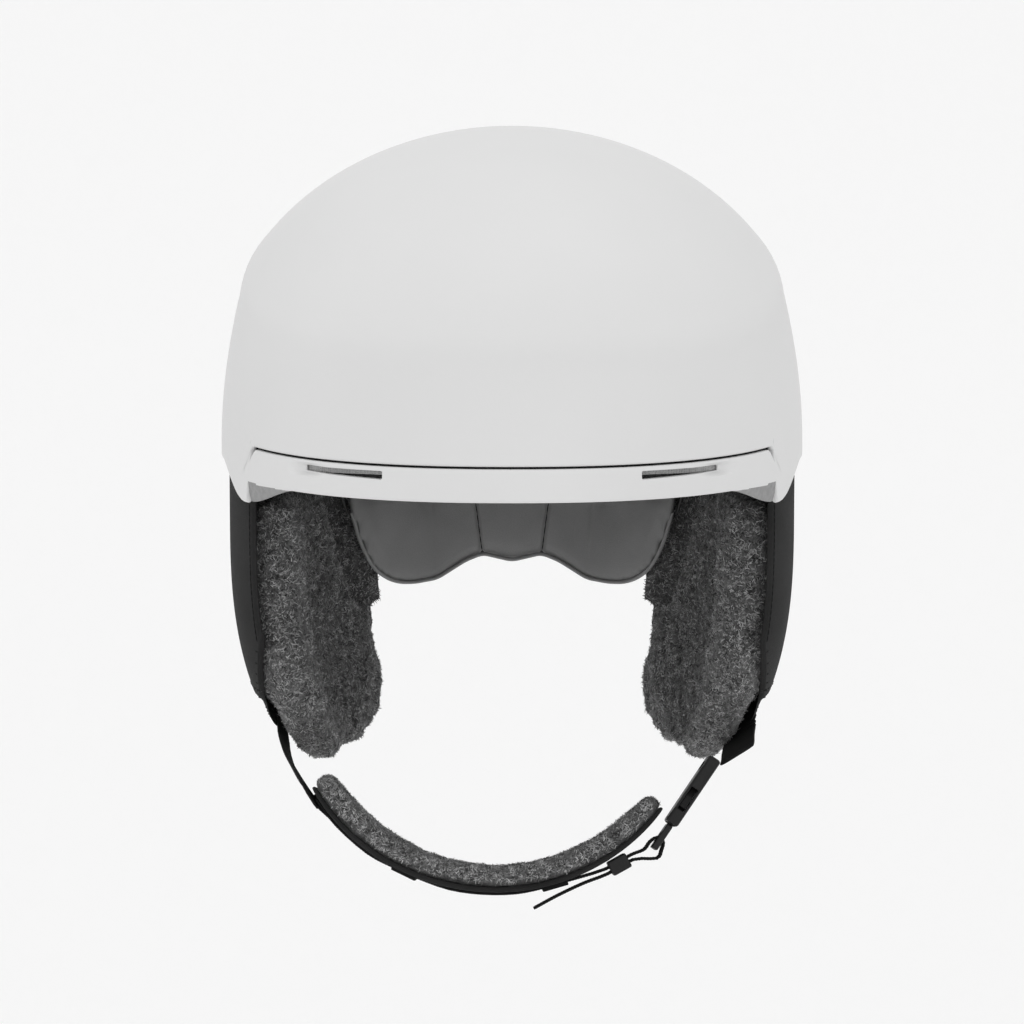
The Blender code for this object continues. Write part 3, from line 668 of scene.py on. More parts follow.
def press_seams(piece, away, deep, wide=0.0009):
    """Pull the surface in by deep along the seams, where away(co) is near 0."""
    moves = [(vertex, vertex.normal * deep * math.exp(-(away(vertex.co) / wide) ** 2))
             for vertex in piece.data.vertices]
    for vertex, move in moves:
        vertex.co -= move


def make_crown_pad():
    """The round pad at the crown, quilted in a cross."""

    def place(u, v, depth):
        x, y = 2.0 * u - 1.0, 2.0 * v - 1.0
        reach = max(abs(x), abs(y)) / max(math.hypot(x, y), 1e-6)
        away = Vector((x, y, 0.0)) * reach
        phi = math.atan2(away.x, -away.y) if away.length > 1e-6 else 0.0
        return lining_point(phi, CROWN - 0.0140 * min(away.length, 1.0) ** 2 - 1e-7, depth)

    pad = pillow("crown_pad_knit", 28, 28, place)
    inflate(pad, 0.0018, 3.0, 0.0006)
    press_seams(pad, lambda co: min(abs(co.x), abs(co.y)), 0.0010)
    return dress(pad, charcoal_knit, "root", "lining", "crown_pad")


def make_side_pad(side, word):
    """The small pad at one temple."""

    def place(u, v, depth):
        return lining_point(side * math.radians(lerp(66.5, 111.5, u)), lerp(0.0285, 0.0515, v), depth)

    pad = pillow("side_pad_%s_knit" % word, 30, 12, place)
    inflate(pad, 0.0016, 3.0, 0.0006)
    return dress(pad, charcoal_knit, "root", "lining", "side_pad_" + word)


knit = knit_group()
charcoal_knit = knitted("charcoal_knit", 0.030, 0.075, 1500.0, 0.0002, 0.15)
make_brow_pad()
make_crown_pad()
for side, word in ((-1.0, "left"), (1.0, "right")):
    make_side_pad(side, word)

# The ear pad covers: black woven fabric over a thin foam board, wrapped round the ears and leaning
# in to the jaw. A shorter outer layer ends in a step low down, and a row of stitches holds it.
EAR_WIDTH = 0.1085
EAR_FRONT = 0.0940
EAR_BACK = 0.1026
EAR_POWER = 2.3
EAR_FROM = 62.6
EAR_TO = 144.0
COVER_TO = 146.0
EAR_COVER = 0.0022
EAR_FLEECE = 0.0062
COVER_STEP = -0.0862


def ear_point(phi, z, inset):
    """A point on an ear pad, inset from its outer face."""
    inset += 0.0175 * (max(-z - 0.018, 0.0) / 0.086) ** 2.8
    point = plan(phi, EAR_WIDTH - inset, EAR_FRONT - inset, EAR_BACK - inset, EAR_POWER)
    point.z = z
    return point


def ear_bottom(angle):
    """The height of an ear pad's lower edge."""
    away = (angle - 100.0) / (38.0 if angle < 100.0 else 44.0)
    return -0.1150 + (0.045 if angle < 100.0 else 0.024) * abs(away) ** (3 if angle < 100.0 else 5)


def cover_span(angle):
    """The heights of a cover's upper and lower edges."""
    return shell_rim(math.radians(angle)) - 0.0015, ear_bottom(angle) + 0.013


def cover_inset(z):
    """How far in the cover's face lies: the outer layer ends at the step."""
    return 0.0019 * smooth((COVER_STEP + 0.0012 - z) / 0.0024)


def make_ear_cover(side, word):
    """One cover, a thin closed sheet with rounded edges."""

    def point(angle, section):
        across, up = section
        top, low = cover_span(angle)
        end = smooth((angle - EAR_FROM) / 1.2) * smooth((COVER_TO - angle) / 1.2)
        z = lerp(low, top, up)
        inset = cover_inset(z)
        middle = 0.5 * (inset + EAR_COVER)
        deep = lerp(middle, lerp(inset, EAR_COVER, across), max(end, 0.05) ** 0.5)
        return ear_point(side * math.radians(angle), z, deep)

    rows = [0.5 - 0.5 * math.cos(math.pi * i / 6) for i in range(7)]
    section = [(0.5 + 0.5 * math.cos(math.pi * r), 1.0 - 0.008 + 0.008 * math.sin(math.pi * r)) for r in rows]
    outer = [(0.0, lerp(0.992, 0.008, i / 110)) for i in range(1, 110)]
    bottom = [(0.5 - 0.5 * math.cos(math.pi * r), 0.008 - 0.008 * math.sin(math.pi * r)) for r in rows]
    inner = [(1.0, lerp(0.008, 0.992, i / 24)) for i in range(1, 24)]
    columns = [lerp(EAR_FROM, COVER_TO, 0.5 - 0.5 * math.cos(math.pi * i / 90)) for i in range(91)]
    cover = lofted("ear_cover_%s_cloth" % word, columns, section + outer + bottom + inner, point, False, True)
    return dress(cover, black_weave, "root", "cover", "ear_pad_cover_" + word)


def make_ear_stitches(side, word):
    """Two rows of stitches: one round the cover's edge and one above its step."""
    bm = bmesh.new()
    spots = []
    for i in range(26):
        angle = lerp(EAR_FROM + 3.0, COVER_TO - 3.0, i / 25)
        spots.append((angle, COVER_STEP + 0.0042, 0.0))
    for i in range(24):
        top, low = cover_span(EAR_FROM + 1.6)
        spots.append((EAR_FROM + 1.6, lerp(top - 0.006, low + 0.004, i / 23), 1.0))
    for i in range(44):
        angle = lerp(EAR_FROM + 3.0, COVER_TO - 3.0, i / 43)
        spots.append((angle, cover_span(angle)[1] + 0.0030, 0.0))
    for angle, z, upright in spots:
        phi = side * math.radians(angle)
        step = math.radians(0.7) * (1.0 - upright)
        face = cover_inset(z)
        ends = [ear_point(phi - step, z - 0.0013 * upright, face),
                ear_point(phi + step, z + 0.0013 * upright, face)]
        out = (ear_point(phi, z, face) - ear_point(phi, z, face + 0.001)).normalized()
        along = (ends[1] - ends[0]).normalized()
        wide = along.cross(out)
        rings = []
        for t in (0.0, 0.15, 0.5, 0.85, 1.0):
            middle = ends[0].lerp(ends[1], t) + out * (0.00016 - 0.0004 * (2.0 * t - 1.0) ** 4)
            rings.append([bm.verts.new(middle + (wide * math.cos(a) + out * 0.7 * math.sin(a)) * 0.00027)
                          for a in [math.pi / 3 * k for k in range(6)]])
        for one, two in zip(rings, rings[1:]):
            for k in range(6):
                bm.faces.new((one[k], one[(k + 1) % 6], two[(k + 1) % 6], two[k]))
        bm.faces.new(list(reversed(rings[0])))
        bm.faces.new(rings[-1])
    bmesh.ops.recalc_face_normals(bm, faces=bm.faces[:])
    mesh = bpy.data.meshes.new("ear_stitches_" + word)
    bm.to_mesh(mesh)
    bm.free()
    mesh.shade_smooth()
    row = bpy.data.objects.new("ear_stitches_" + word, mesh)
    scene.collection.objects.link(row)
    return dress(row, black_thread, "root", "cover")


black_weave = knitted("black_woven_cover", 0.012, 0.024, 1900.0, 0.00016, 0.02)
black_thread = knitted("black_thread", 0.006, 0.014, 2600.0, 0.0001, 0.02)
for side, word in ((-1.0, "left"), (1.0, "right")):
    make_ear_cover(side, word)
    make_ear_stitches(side, word)

# The ear pad fleece: a thick roll of grey pile inside each cover, soft and round at the front. The
# cloth base is inflated, tufted and then planted with short curly fibres of mixed greys. Painted shade
# darkens the fibres' roots and the dips between tufts.
TUFT = 0.0007
FIBRE = 0.0019


def grey_fleece(name, low, high):
    """Pile in mixed greys: each fibre's tone is carried on the mesh, and drifts over the pad. The tone also holds
    painted shade: darker at the fibres' roots and in the base's dips.
    """
    material, shader = new_material(name, 1.0, Specular_IOR_Level=0.15, Sheen_Weight=0.25, Sheen_Roughness=0.6)
    tone = node(material, "ShaderNodeAttribute", attribute_name="tone").outputs["Fac"]
    place = node(material, "ShaderNodeTexCoord").outputs["Object"]
    fibre = node(material, "ShaderNodeTexNoise", {"Vector": place, "Scale": 1400.0, "Detail": 3.0})
    mixed = node(material, "ShaderNodeMath", {0: fibre.outputs["Fac"], 1: -0.5}, operation="ADD")
    spread = node(material, "ShaderNodeMath", {0: mixed.outputs[0], 1: 0.5, 2: tone}, operation="MULTIPLY_ADD")
    colour = ramp(material, spread.outputs[0], [(0.0, low), (1.0, high)])
    bump = relief(material, fibre.outputs["Fac"], 0.6, 0.0004)
    wire(shader, colour, bump)
    return material


def tuft(piece, size, deep):
    """Rough the base up into tufts about size across, and mark their tone: lighter on the tops and darker in the
    dips, as painted light and shade.
    """
    tones = piece.data.attributes.new("tone", "FLOAT", "POINT")
    moves = []
    for vertex in piece.data.vertices:
        spot = vertex.co / size
        bend = noise.noise_vector(spot * 0.45) * 0.9
        rough = noise.noise(spot + bend) + 0.5 * noise.noise(spot * 2.1 + bend)
        moves.append(vertex.normal * deep * rough)
        # painted light and shade: the tone rises with the tuft's height and falls in its dips
        tones.data[vertex.index].value = 0.12 + 0.12 * rough
    for vertex, move in zip(piece.data.vertices, moves):
        vertex.co += move


def plant_pile(name, piece, count, length, width, bare, seed):
    """Short curved fibres all over the piece, except where bare(co, normal) says so."""
    rng = random.Random(seed)
    mesh = piece.data
    mesh.calc_loop_triangles()
    corners = [[mesh.vertices[i].co for i in tri.vertices] for tri in mesh.loop_triangles]
    normals = [tri.normal.copy() for tri in mesh.loop_triangles]
    areas = [tri.area for tri in mesh.loop_triangles]
    verts, faces, tones = [], [], []
    for pick in rng.choices(range(len(areas)), weights=areas, k=count):
        a, b = rng.random(), rng.random()
        if a + b > 1.0:
            a, b = 1.0 - a, 1.0 - b
        one, two, three = corners[pick]
        root = one + (two - one) * a + (three - one) * b
        up = normals[pick]
        wander = Vector((rng.gauss(0, 0.35), rng.gauss(0, 0.35), rng.gauss(0, 0.35)))
        reach = length * rng.uniform(0.6, 1.15)
        curl = rng.uniform(-0.5, 0.5)
        rise = rng.uniform(0.45, 0.95)
        tone = 0.42 + 0.62 * noise.noise(root / 0.0023) + rng.gauss(0.0, 0.20)
        if bare(root, up):
            continue
        swirl = noise.noise_vector(root / 0.0042)
        lie = swirl - up * swirl.dot(up)
        lie += wander
        lie -= up * lie.dot(up)
        lie = lie.normalized() if lie.length > 1e-6 else up.orthogonal().normalized()
        side = up.cross(lie)
        base = len(verts)
        for step in range(4):
            t = step / 3
            bend = t * (1.0 - 0.45 * t)
            spot = root - up * 0.0003 + up * reach * rise * bend
            spot = spot + lie * reach * 0.75 * t * t + side * reach * curl * t * t
            half = width * (0.55, 0.5, 0.38, 0.12)[step]
            verts.append(spot - side * half)
            verts.append(spot + side * half)
            # painted shade: each fibre is darker at its root and lighter at its tip
            shade = tone * (0.45, 0.75, 1.0, 1.15)[step]
            tones += [shade, shade]
        faces += [(base + 2 * i, base + 2 * i + 1, base + 2 * i + 3, base + 2 * i + 2) for i in range(3)]
    pile = bpy.data.meshes.new(name)
    pile.from_pydata(verts, [], faces)
    pile.attributes.new("tone", "FLOAT", "POINT").data.foreach_set("value", tones)
    pile.shade_smooth()
    obj = bpy.data.objects.new(name, pile)
    scene.collection.objects.link(obj)
    return obj


def fleece_top(angle):
    """The height of a fleece roll's upper edge, which drops behind the ear."""
    return lerp(-0.0080, -0.0605, smooth((angle - 125.0) / 12.0))


def make_ear_fleece(side, word):
    """One roll of fleece with its pile, and the slit that the ear's pocket closes with."""

    def place(u, v, depth):
        angle = lerp(EAR_FROM + 0.6, EAR_TO - 1.0, u)
        deep = lerp(0.0258, 0.0182, smooth(u / 0.6))
        z = lerp(fleece_top(angle) - 0.001, ear_bottom(angle) + 0.0004, v)
        by_strap = max(math.exp(-(((angle - 90.0) / 6.5) ** 4)), smooth((-0.080 - z) / 0.012))
        outer = lerp(EAR_COVER + 0.0010, EAR_FLEECE + 0.0006, by_strap)
        return ear_point(side * math.radians(angle), z, lerp(outer, deep, depth))

    def from_slit(co):
        angle = math.degrees(math.atan2(abs(co.x), -co.y))
        line = 93.0 + 9.0 * smooth((-0.030 - co.z) / 0.060)
        return (angle - line) * 0.0015 if -0.094 < co.z < -0.016 else 0.02

    def slit_side(co):
        return abs(ear_point(math.radians(96.0), co.z, 0.0150).x)

    def bare(co, up):
        slit = 0.0009 + 0.0006 * math.sin(co.z * 520.0)
        return up.x * side > 0.75 or (up.x * side < -0.2 and abs(from_slit(co)) < slit)

    roll = pillow("ear_fleece_" + word, 46, 46, place, 4.0, 7.0)
    inflate(roll, 0.0040, 4.0, 0.0022)
    finer = roll.modifiers.new("finer", "SUBSURF")
    finer.levels = finer.render_levels = 1
    keep_shape(roll)
    press_seams(roll, lambda co: abs(from_slit(co)) if abs(co.x) < slit_side(co) else 1.0, 0.0034, 0.0012)
    tuft(roll, 0.0030, TUFT)
    roll.data.shade_smooth()
    pile = plant_pile("ear_pile_" + word, roll, 52000, FIBRE, 0.00046, bare, 11 if side < 0.0 else 12)
    dress(pile, fleece, "root", "fleece")
    return dress(roll, fleece, "root", "fleece", "ear_pad_fleece_" + word)


def make_nape_fleece(side, word):
    """The thin fleece flap that carries on behind each roll, up to the foam beside the cradle."""

    def place(u, v, depth):
        angle = lerp(124.0, COVER_TO + 1.5, u)
        z = lerp(shell_rim(math.radians(angle)) + 0.004, lerp(-0.070, -0.062, smooth((u - 0.7) / 0.3)), v)
        return ear_point(side * math.radians(angle), z, lerp(EAR_COVER + 0.0006, 0.0052, depth))

    flap = pillow("nape_fleece_" + word, 24, 40, place, 6.0)
    tuft(flap, 0.0030, 0.0002)
    pile = plant_pile("nape_pile_" + word, flap, 9000, FIBRE, 0.00042, lambda co, up: up.x * side > 0.0, 31)
    dress(flap, fleece, "root", "fleece")
    return dress(pile, fleece, "root", "fleece")


fleece = grey_fleece("grey_fleece", 0.012, 0.44)
for side, word in ((-1.0, "left"), (1.0, "right")):
    make_ear_fleece(side, word)
    make_nape_fleece(side, word)

# The nape cradle: a moulded black frame on a stem that slides in a rail, faced with a soft pad.
# The pad is three sewn panels of brushed grey cloth over foam, with a corded welt along its edge.
CRADLE_Y = 0.1008
CRADLE_LOW = ((0.0, -0.0474), (0.0121, -0.0446), (0.0191, -0.0474), (0.0307, -0.0548), (0.0397, -0.0561),
              (0.0459, -0.0557), (0.0508, -0.0536), (0.0562, -0.0487), (0.0603, -0.0405), (0.0640, -0.0285),
              (0.0652, -0.0200))
CRADLE_TOP = -0.0142
WELT = 0.0008


def cradle_curve(x):
    """How far back the cradle stands at x: flat across the dial, then curving forwards."""
    return CRADLE_Y - 19.0 * max(abs(x) - 0.026, 0.0) ** 2


def cradle_low(x):
    """The height of the pad's lower edge: two deep lobes and a shallow one between them."""
    x = min(abs(x), CRADLE_LOW[-1][0])
    for (x0, z0), (x1, z1) in zip(CRADLE_LOW, CRADLE_LOW[1:]):
        if x <= x1:
            return lerp(z0, z1, (x - x0) / (x1 - x0))
    return CRADLE_LOW[-1][1]


def cradle_soft_low(x):
    """The same edge with its corners eased."""
    return sum(cradle_low(x + step) for step in (-0.002, -0.001, 0.0, 0.001, 0.002)) / 5.0


def make_cradle_pad():
    """The pad, inflated, then drawn in along its two seams."""

    def place(u, v, depth):
        x = lerp(-0.0660, 0.0660, u)
        z = lerp(cradle_soft_low(x) - 0.0004, CRADLE_TOP, v)
        return Vector((x, cradle_curve(x) - lerp(0.0006, 0.0096, depth), z))

    def from_seam(co):
        return abs(abs(co.x) - lerp(0.0121, 0.0155, (co.z + 0.0446) / 0.026))

    pad = pillow("cradle_pad_cloth", 76, 26, place, 6.0)
    inflate(pad, 0.0022, 4.0, 0.0009)
    finer = pad.modifiers.new("finer", "SUBSURF")
    finer.levels = finer.render_levels = 1
    keep_shape(pad)
    press_seams(pad, from_seam, 0.0016, 0.0007)
    pad.data.shade_smooth()
    for side, word in ((-1.0, "left"), (1.0, "right")):
        make_cradle_seam(pad, side, word)
    return dress(pad, brushed_grey, "cradle", "lining", "cradle_pad")


def swept(name, path, section, closed=False):
    """A tube along a path, with a round section of radius section(share) capped at both ends."""
    last = len(path) - 1
    frames = []
    face = Vector((0.0, 0.0, 1.0))
    for i, spot in enumerate(path):
        along = (path[min(i + 1, last)] - path[max(i - 1, 0)]).normalized()
        face = (face - along * face.dot(along)).normalized()
        frames.append((spot, face, along.cross(face), section(i / last)))

    def point(i, turn):
        spot, face, across, radius = frames[i]
        return spot + (face * math.cos(turn) + across * math.sin(turn)) * radius

    return lofted(name, range(len(path)), [math.pi / 6 * k for k in range(12)], point, closed, True)


def make_cradle_seam(pad, side, word):
    """The sunk thread down one seam, laid on the pad's face from the edge to the top."""
    path = []
    for i in range(61):
        z = lerp(-0.0436, -0.0160, i / 60)
        start = Vector((side * lerp(0.0121, 0.0155, (z + 0.0446) / 0.026), 0.0, z))
        found = pad.ray_cast(start, Vector((0.0, 1.0, 0.0)))
        if found[0]:
            path.append(found[1])
    thread = swept("cradle_seam_" + word, path, lambda share: 0.00022)
    return dress(thread, black_thread, "cradle", "lining")


def make_cradle_frame():
    """The frame's shape with its lower corners drawn up behind the pad's lobes."""
    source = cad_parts["rear_cradle"]
    mesh = source.data.copy()
    mesh.transform(source.matrix_world)
    piece = bpy.data.objects.new("cradle_frame", mesh)
    scene.collection.objects.link(piece)
    for vertex in mesh.vertices:
        reach = min(abs(vertex.co.x), 0.0585)
        if vertex.co.z < -0.020:
            vertex.co.x = math.copysign(reach, vertex.co.x)
            vertex.co.z = max(vertex.co.z, cradle_soft_low(reach + 0.003) + 0.0030)
    mesh.materials.clear()
    return dress(piece, black_nylon, "cradle", "lining", "rear_cradle")


def make_cradle_welt():
    """The cord sewn into the pad's edge, down one side, under the lobes and up the other."""
    path = []
    for i in range(241):
        x = lerp(-0.0648, 0.0648, 0.5 - 0.5 * math.cos(math.pi * i / 240))
        path.append(Vector((x, cradle_curve(x) - 0.0094, cradle_soft_low(x) + 0.0006)))
    welt = swept("cradle_pad_welt", path, lambda share: WELT * min(1.0, 0.3 + 12.0 * min(share, 1.0 - share)))
    return dress(welt, brushed_grey, "cradle", "lining")


def moulded_black(name, low, high, roughness, grain):
    """Moulded nylon: dark, slightly mottled, with a fine spark-eroded grain."""
    material, shader = new_material(name, roughness, Specular_IOR_Level=0.25)
    place = node(material, "ShaderNodeTexCoord").outputs["Object"]
    mottle = node(material, "ShaderNodeTexNoise", {"Vector": place, "Scale": 120.0, "Detail": 4.0})
    colour = ramp(material, mottle.outputs["Fac"], [(0.35, low), (0.65, high)])
    tooth = node(material, "ShaderNodeTexNoise", {"Vector": place, "Scale": grain, "Detail": 2.0})
    bump = relief(material, tooth.outputs["Fac"], 0.35, 0.0002)
    rough = node(material, "ShaderNodeMapRange", {"Value": mottle.outputs["Fac"], "To Min": roughness - 0.08,
                                                  "To Max": roughness + 0.1})
    wire(shader, colour, bump, rough)
    return material


def finish_nodes(material, *names):
    """Give CAD parts that keep their own shape a finished material."""
    for name in names:
        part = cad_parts[name]
        part.data.materials.clear()
        part.data.materials.append(material)


brushed_grey = knitted("brushed_grey_cloth", 0.215, 0.265, 2400.0, 0.00012, 0.05)
black_nylon = moulded_black("black_moulded_nylon", 0.016, 0.026, 0.42, 1800.0)
make_cradle_pad()
make_cradle_welt()
make_cradle_frame()
finish_nodes(black_nylon, "cradle_stem", "height_rail", "dial_housing", "dial_shaft")

# The dial fit system: a ribbed knob on the cradle turns a pinion between two racks, which draw in
# the flexible bands that run round inside the foam to their anchors at the temples.
DIAL_Z = -0.0360
RACK_Y = 0.1050
KNOB_RADIUS = 0.0130
KNOB_RIBS = 24
BAND_WIDTH = 0.0090
BAND_THICK = 0.0012


def smooth_path(points, steps):
    """Points on a smooth curve through the given ones, steps to each stretch."""
    ends = [2 * points[0] - points[1]] + points + [2 * points[-1] - points[-2]]
    path = []
    for a, b, c, d in zip(ends, ends[1:], ends[2:], ends[3:]):
        for i in range(steps):
            t = i / steps
            pull = 2 * b + (c - a) * t + (2 * a - 5 * b + 4 * c - d) * t * t
            path.append((pull + (3 * b - a - 3 * c + d) * t**3) / 2)
    return path + [points[-1]]


def even_path(path, step):
    """The same line with its points a step apart."""
    lengths = [0.0]
    for one, two in zip(path, path[1:]):
        lengths.append(lengths[-1] + (two - one).length)
    count = max(round(lengths[-1] / step), 2)
    spots, i = [], 0
    for k in range(count + 1):
        want = lengths[-1] * k / count
        while i < len(path) - 2 and lengths[i + 1] < want:
            i += 1
        spots.append(path[i].lerp(path[i + 1], (want - lengths[i]) / (lengths[i + 1] - lengths[i])))
    return spots


def make_ribbon(name, path, width, thick, centre=None, rib=0.0):
    """A strap along a path, with rounded edges. Its face looks away from centre, or square to Y."""
    last = len(path) - 1
    frames = []
    for i, spot in enumerate(path):
        along = (path[min(i + 1, last)] - path[max(i - 1, 0)]).normalized()
        if centre is None:
            face = along.cross(Vector((0.0, 1.0, 0.0))).normalized()
        else:
            face = spot - Vector((centre.x, spot.y, centre.z))
            face = (face - along * face.dot(along)).normalized()
        frames.append((spot, face, face.cross(along)))

    def point(i, turn):
        spot, face, across = frames[i]
        c, s = math.cos(turn), math.sin(turn)
        wide = math.copysign(abs(c) ** 0.25, c) * width / 2.0
        tall = math.copysign(abs(s) ** 0.45, s) * (thick / 2.0 - (rib if i % 2 else 0.0))
        end = 1.0 if 0 < i < last else 0.86
        return spot + across * wide * end + face * tall * end

    return lofted(name, range(last + 1), [math.pi / 12 * (k + 0.5) for k in range(24)], point, False, True)


def make_dial_knob():
    """The knob: a soft-edged disc with finger ribs round it and a dished face."""
    profile = [(0.0, 0.0040), (0.35, 0.0041), (0.66, 0.0046), (0.80, 0.0078), (0.90, 0.0080), (0.97, 0.0074),
               (1.0, 0.0062), (1.0, 0.0020), (0.97, 0.0004), (0.92, 0.0), (0.5, 0.0), (0.0, 0.0)]

    def point(step, place):
        turn = math.pi * 2.0 * step / (KNOB_RIBS * 8)
        share, height = place
        rib = 0.0009 * (0.5 + 0.5 * math.cos(turn * KNOB_RIBS)) ** 2 * smooth((share - 0.85) / 0.1)
        radius = max(KNOB_RADIUS * share - 0.0004 - rib, 0.0)
        return Vector((radius * math.cos(turn), RACK_Y + 0.0040 + height, DIAL_Z + radius * math.sin(turn)))

    knob = lofted("dial_knob_skin", range(KNOB_RIBS * 8), profile, point, True)
    knob.data.set_sharp_from_angle(angle=math.radians(50.0))
    return dress(knob, soft_rubber, "dial", "plastic", "dial_knob")


def make_fit_band(side, word):
    """One band from its rack to its anchor. It bends where the cradle carries it up and down."""
    points = [
        Vector((side * 0.0670, 0.0725, -0.0240)),
        Vector((side * 0.0705, 0.0630, -0.0100)),
        Vector((side * 0.0745, 0.0480, 0.0030)),
        Vector((side * 0.0790, 0.0280, 0.0110)),
        Vector((side * 0.0810, 0.0000, 0.0150)),
        Vector((side * 0.0800, -0.0280, 0.0165)),
    ]
    path = even_path(smooth_path(points, 6), 0.0018)
    band = make_ribbon("fit_band_%s_strip" % word, path, BAND_WIDTH, BAND_THICK, Vector((0.0, 0.0, 0.0)))
    dress(band, band_nylon, None, "band", "fit_band_" + word)
    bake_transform(band)


soft_rubber = moulded_black("black_soft_rubber", 0.020, 0.030, 0.62, 2600.0)
band_nylon = moulded_black("dark_band_nylon", 0.030, 0.048, 0.5, 2200.0)
make_dial_knob()
for side, word in ((-1.0, "left"), (1.0, "right")):
    make_fit_band(side, word)
    finish_nodes(band_nylon, "rack_" + word)
    finish_nodes(black_nylon, "temple_anchor_" + word)
    finish_nodes(black_nylon, "ear_pad_stud_%s_front" % word, "ear_pad_stud_%s_rear" % word)
finish_nodes(black_nylon, "dial_pinion")

# The goggle clip: a nylon base bonded to the back of the shell, with a raised flat seat and a
# rubbery leaf that hinges on a steel pin and closes over the goggle strap onto a stud.


def brushed_steel():
    """Drawn steel wire and rivets: fine lengthwise scratches and a little dullness."""
    material, shader = new_material("brushed_steel", 0.32, Metallic=1.0)
    place = node(material, "ShaderNodeTexCoord").outputs["Object"]
    stretch = node(material, "ShaderNodeMapping", {"Vector": place, "Scale": (60.0, 900.0, 900.0)})
    scratch = node(material, "ShaderNodeTexNoise",
                   {"Vector": stretch.outputs["Vector"], "Scale": 4.0, "Detail": 4.0})
    colour = ramp(material, scratch.outputs["Fac"], [(0.3, 0.38), (0.7, 0.56)])
    bump = relief(material, scratch.outputs["Fac"], 0.2, 0.0001)
    rough = node(material, "ShaderNodeMapRange", {"Value": scratch.outputs["Fac"], "To Min": 0.24, "To Max": 0.44})
    wire(shader, colour, bump, rough)
    return material


steel = brushed_steel()
finish_nodes(black_nylon, "goggle_clip_base")
finish_nodes(soft_rubber, "goggle_clip")
finish_nodes(steel, "goggle_clip_pin", "goggle_clip_stud", "dial_screw")
finish_nodes(steel, "strap_rivet_left", "strap_rivet_right")

# The side straps: ribbed black webbing, riveted inside the ear pads. The left one comes out from
# under its cover and ends in the chin rest's webbing, and the right one carries the buckle socket.
CHIN_Y = -0.050
CHIN_CENTRE = Vector((-0.0058, CHIN_Y, -0.0770))
WEB_WIDTH = 0.015
WEB_THICK = 0.0013
RIB_STEP = 0.00055
STRAP_INSET = 0.0048
BUCKLE_MOUTH = Vector((0.0596, CHIN_Y, -0.1305))
BUCKLE_LEAN = math.radians(34.2)
CHIN_PIVOT = Vector((0.0, CHIN_Y, -0.1450))
CHIN_TURN = Matrix.Rotation(math.radians(-11.0), 3, "X")
CHIN_RADIUS = 0.0694
CHIN_FLEECE = 0.0067
WEB_RADIUS = 0.0783


def buckle_place(x, z):
    """A point in the buckle's own axes: x through its thickness, z into its mouth."""
    return BUCKLE_MOUTH + Euler((0.0, BUCKLE_LEAN, 0.0)).to_matrix() @ Vector((x, 0.0, z))


def chin_arc(angle, radius):
    """A point under the chin, at an angle round from straight down. The fleece is fullest at the left."""
    turn = math.radians(angle)
    swell = 0.0013 + 0.0013 * smooth((-angle - 5.0) / 50.0)
    swell *= smooth((radius - CHIN_RADIUS) / CHIN_FLEECE)
    return CHIN_CENTRE + Vector((math.sin(turn), 0.0, -math.cos(turn))) * (radius + swell)


def tilted(point):
    """Where a point of the upright chin strap goes when the strap's back edge is tipped down."""
    return CHIN_PIVOT + CHIN_TURN @ (point - CHIN_PIVOT)


def make_side_strap(side, word):
    """One side strap, from its rivet down to the chin."""
    points = [ear_point(side * math.pi / 2, z, STRAP_INSET) for z in (-0.012, -0.035, -0.060, -0.085)]
    facing = CHIN_CENTRE if side < 0.0 else Vector((0.030, 0.0, -0.022))
    if side < 0.0:
        points.append(ear_point(-math.pi / 2, -0.098, STRAP_INSET))
        points.append(Vector((-0.0878, -0.0090, -0.1065)))
        points.append(Vector((-0.0842, -0.0240, -0.1122)))
        points.append(Vector((-0.0806, -0.0340, -0.1152)))
        points += [tilted(chin_arc(-58.5, WEB_RADIUS + 0.0009)), tilted(chin_arc(-55.5, WEB_RADIUS + 0.0004))]
        points.append(tilted(chin_arc(-51.0, WEB_RADIUS - 0.0008)))
    else:
        points.append(Vector((0.0890, -0.0080, -0.1000)))
        points.append(Vector((0.0868, -0.0200, -0.1040)))
        points.append(Vector((0.0858, -0.0330, -0.1052)))
        points.append(Vector((0.0850, -0.0400, -0.1056)))
    path = even_path(smooth_path(points, 4), RIB_STEP)
    strap = make_ribbon("side_strap_%s_web" % word, path, WEB_WIDTH, WEB_THICK, facing, 0.00010)
    dress(strap, black_webbing, "root" if side > 0.0 else None, "webbing", "side_strap_" + word)
    if side < 0.0:
        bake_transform(strap)


black_webbing = knitted("black_polyester_webbing", 0.006, 0.016, 2200.0, 0.00012, 0.0)
for side, word in ((-1.0, "left"), (1.0, "right")):
    make_side_strap(side, word)

# The chin rest: fleece over a bent black backing, with the webbing threaded under it through two
# keeper loops and a slider. The webbing turns round the plug's bar, and its tail runs back below.
CHIN_WIDTH = 0.026
LOOP_RADIUS = 0.0792


def chin_place(low, high, inner, outer, wide):
    """A strip under the chin, rounded in plan at both ends."""

    def place(u, v, depth):
        spot = chin_arc(lerp(low, high, u), lerp(outer, inner, depth))
        full = 1.0 - 0.30 * abs(2.0 * u - 1.0) ** 5
        return tilted(spot + Vector((0.0, (v - 0.5) * wide * full, 0.0)))

    return place


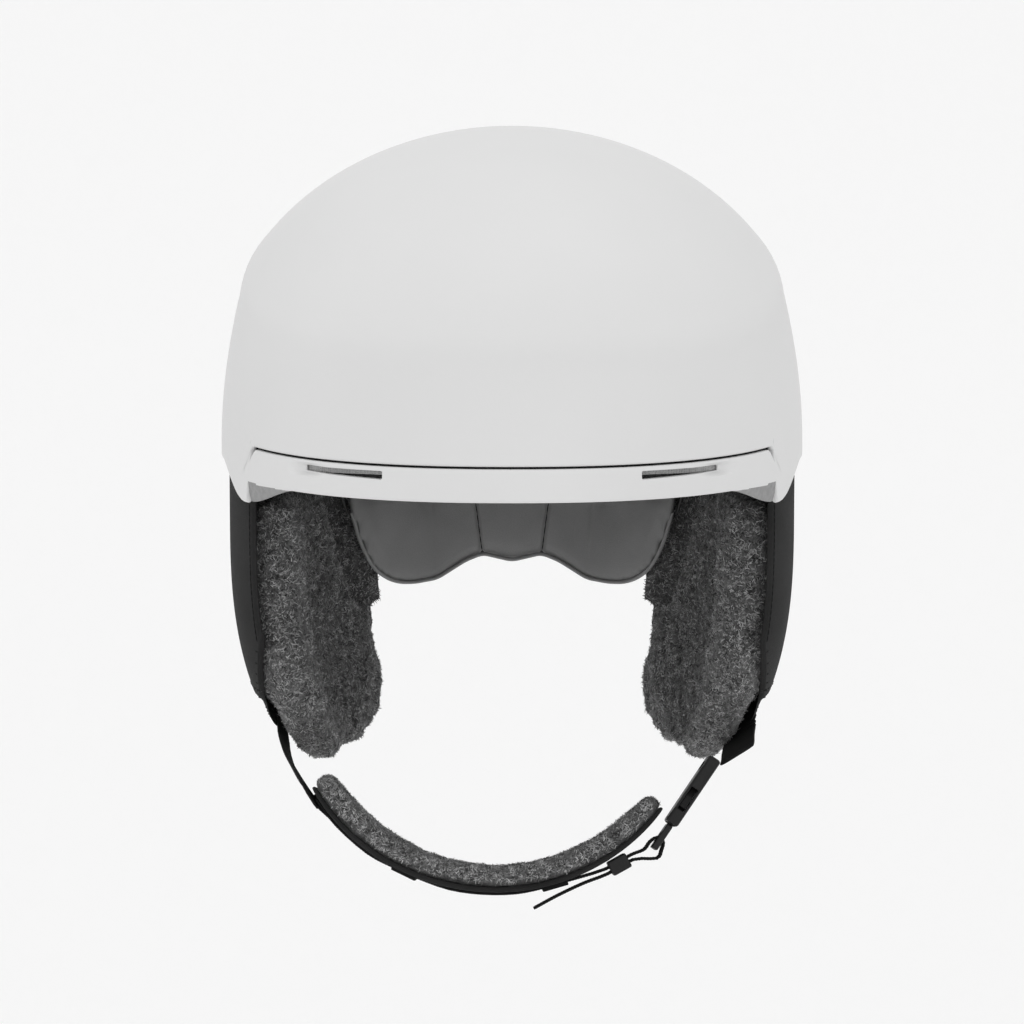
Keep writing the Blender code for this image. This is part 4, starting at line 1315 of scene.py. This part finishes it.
def make_chin_rest():
    """The fleece with its pile, and the backing under it."""
    pad = pillow("chin_rest_fleece", 64, 16,
                 chin_place(-61.4, 53.6, CHIN_RADIUS + 0.0002, CHIN_RADIUS + CHIN_FLEECE, CHIN_WIDTH - 0.001),
                 7.0, 3.2)
    inflate(pad, 0.0022, 3.0, 0.0007)
    tuft(pad, 0.0026, 0.0004)

    def bare(co, up):
        return up.dot((co - tilted(CHIN_CENTRE)).normalized()) > 0.7

    pile = plant_pile("chin_rest_pile", pad, 22000, 0.0019, 0.00036, bare, 21)
    dress(pad, chin_fleece, "chin", "fleece", "chin_pad_fleece")
    dress(pile, chin_fleece, "chin", "fleece")
    back = pillow("chin_rest_backing", 90, 12,
                  chin_place(-60.0, 52.6, CHIN_RADIUS + CHIN_FLEECE - 0.0003, WEB_RADIUS - 0.0005,
                             CHIN_WIDTH), 7.0)
    dress(back, black_weave, "chin", "cover", "chin_pad_backing")


def make_chin_webbing():
    """The webbing in one length: under the rest, round the plug's bar and back as the tail."""
    slider = Vector((0.0403, CHIN_Y, -0.1456))
    run = Vector((math.cos(math.radians(29.0)), 0.0, math.sin(math.radians(29.0))))
    below = Vector((run.z, 0.0, -run.x))
    line = [chin_arc(angle, WEB_RADIUS) for angle in (-57, -48, -37)]
    line += [chin_arc(angle, LOOP_RADIUS - 0.0016) for angle in (-29, -22.5)]
    line += [chin_arc(angle, WEB_RADIUS) for angle in (-13, -4, 5)]
    line += [chin_arc(angle, LOOP_RADIUS - 0.0013) for angle in (12.5, 19)]
    line += [slider - below * 0.0010 + run * step for step in (-0.0055, 0.0055)]
    bar = [(0.0029, -0.0135), (0.0027, -0.0100), (0.0017, -0.0073), (0.0, -0.0064)]
    line += [buckle_place(-x, z) for x, z in bar]
    line += [buckle_place(x, z) for x, z in reversed(bar[:-1])]
    line += [slider + below * 0.0010 + run * step for step in (0.0055, -0.0055)]
    line += [chin_arc(angle, radius) for angle, radius in ((23.5, 0.0811), (16.0, 0.0821), (9.3, 0.0849))]
    path = even_path(smooth_path(line, 3), RIB_STEP)
    web = make_ribbon("chin_strap_web", path, WEB_WIDTH, WEB_THICK, None, 0.00012)
    for vertex in web.data.vertices:
        vertex.co = tilted(vertex.co)
    return dress(web, black_webbing, "chin", "webbing", "chin_webbing")


chin_fleece = grey_fleece("grey_chin_fleece", 0.016, 0.56)
make_chin_rest()
make_chin_webbing()
finish_nodes(black_webbing, "keeper_loop_left", "keeper_loop_right")

# The side-release buckle and the slider: glossy black acetal mouldings. The two prongs spring in
# to let the plug out of the socket.
black_acetal = moulded_black("black_acetal", 0.007, 0.012, 0.45, 1500.0)
finish_nodes(black_acetal, "buckle_socket", "buckle_plug", "strap_slider")
finish_nodes(black_acetal, "buckle_prong_front", "buckle_prong_rear")
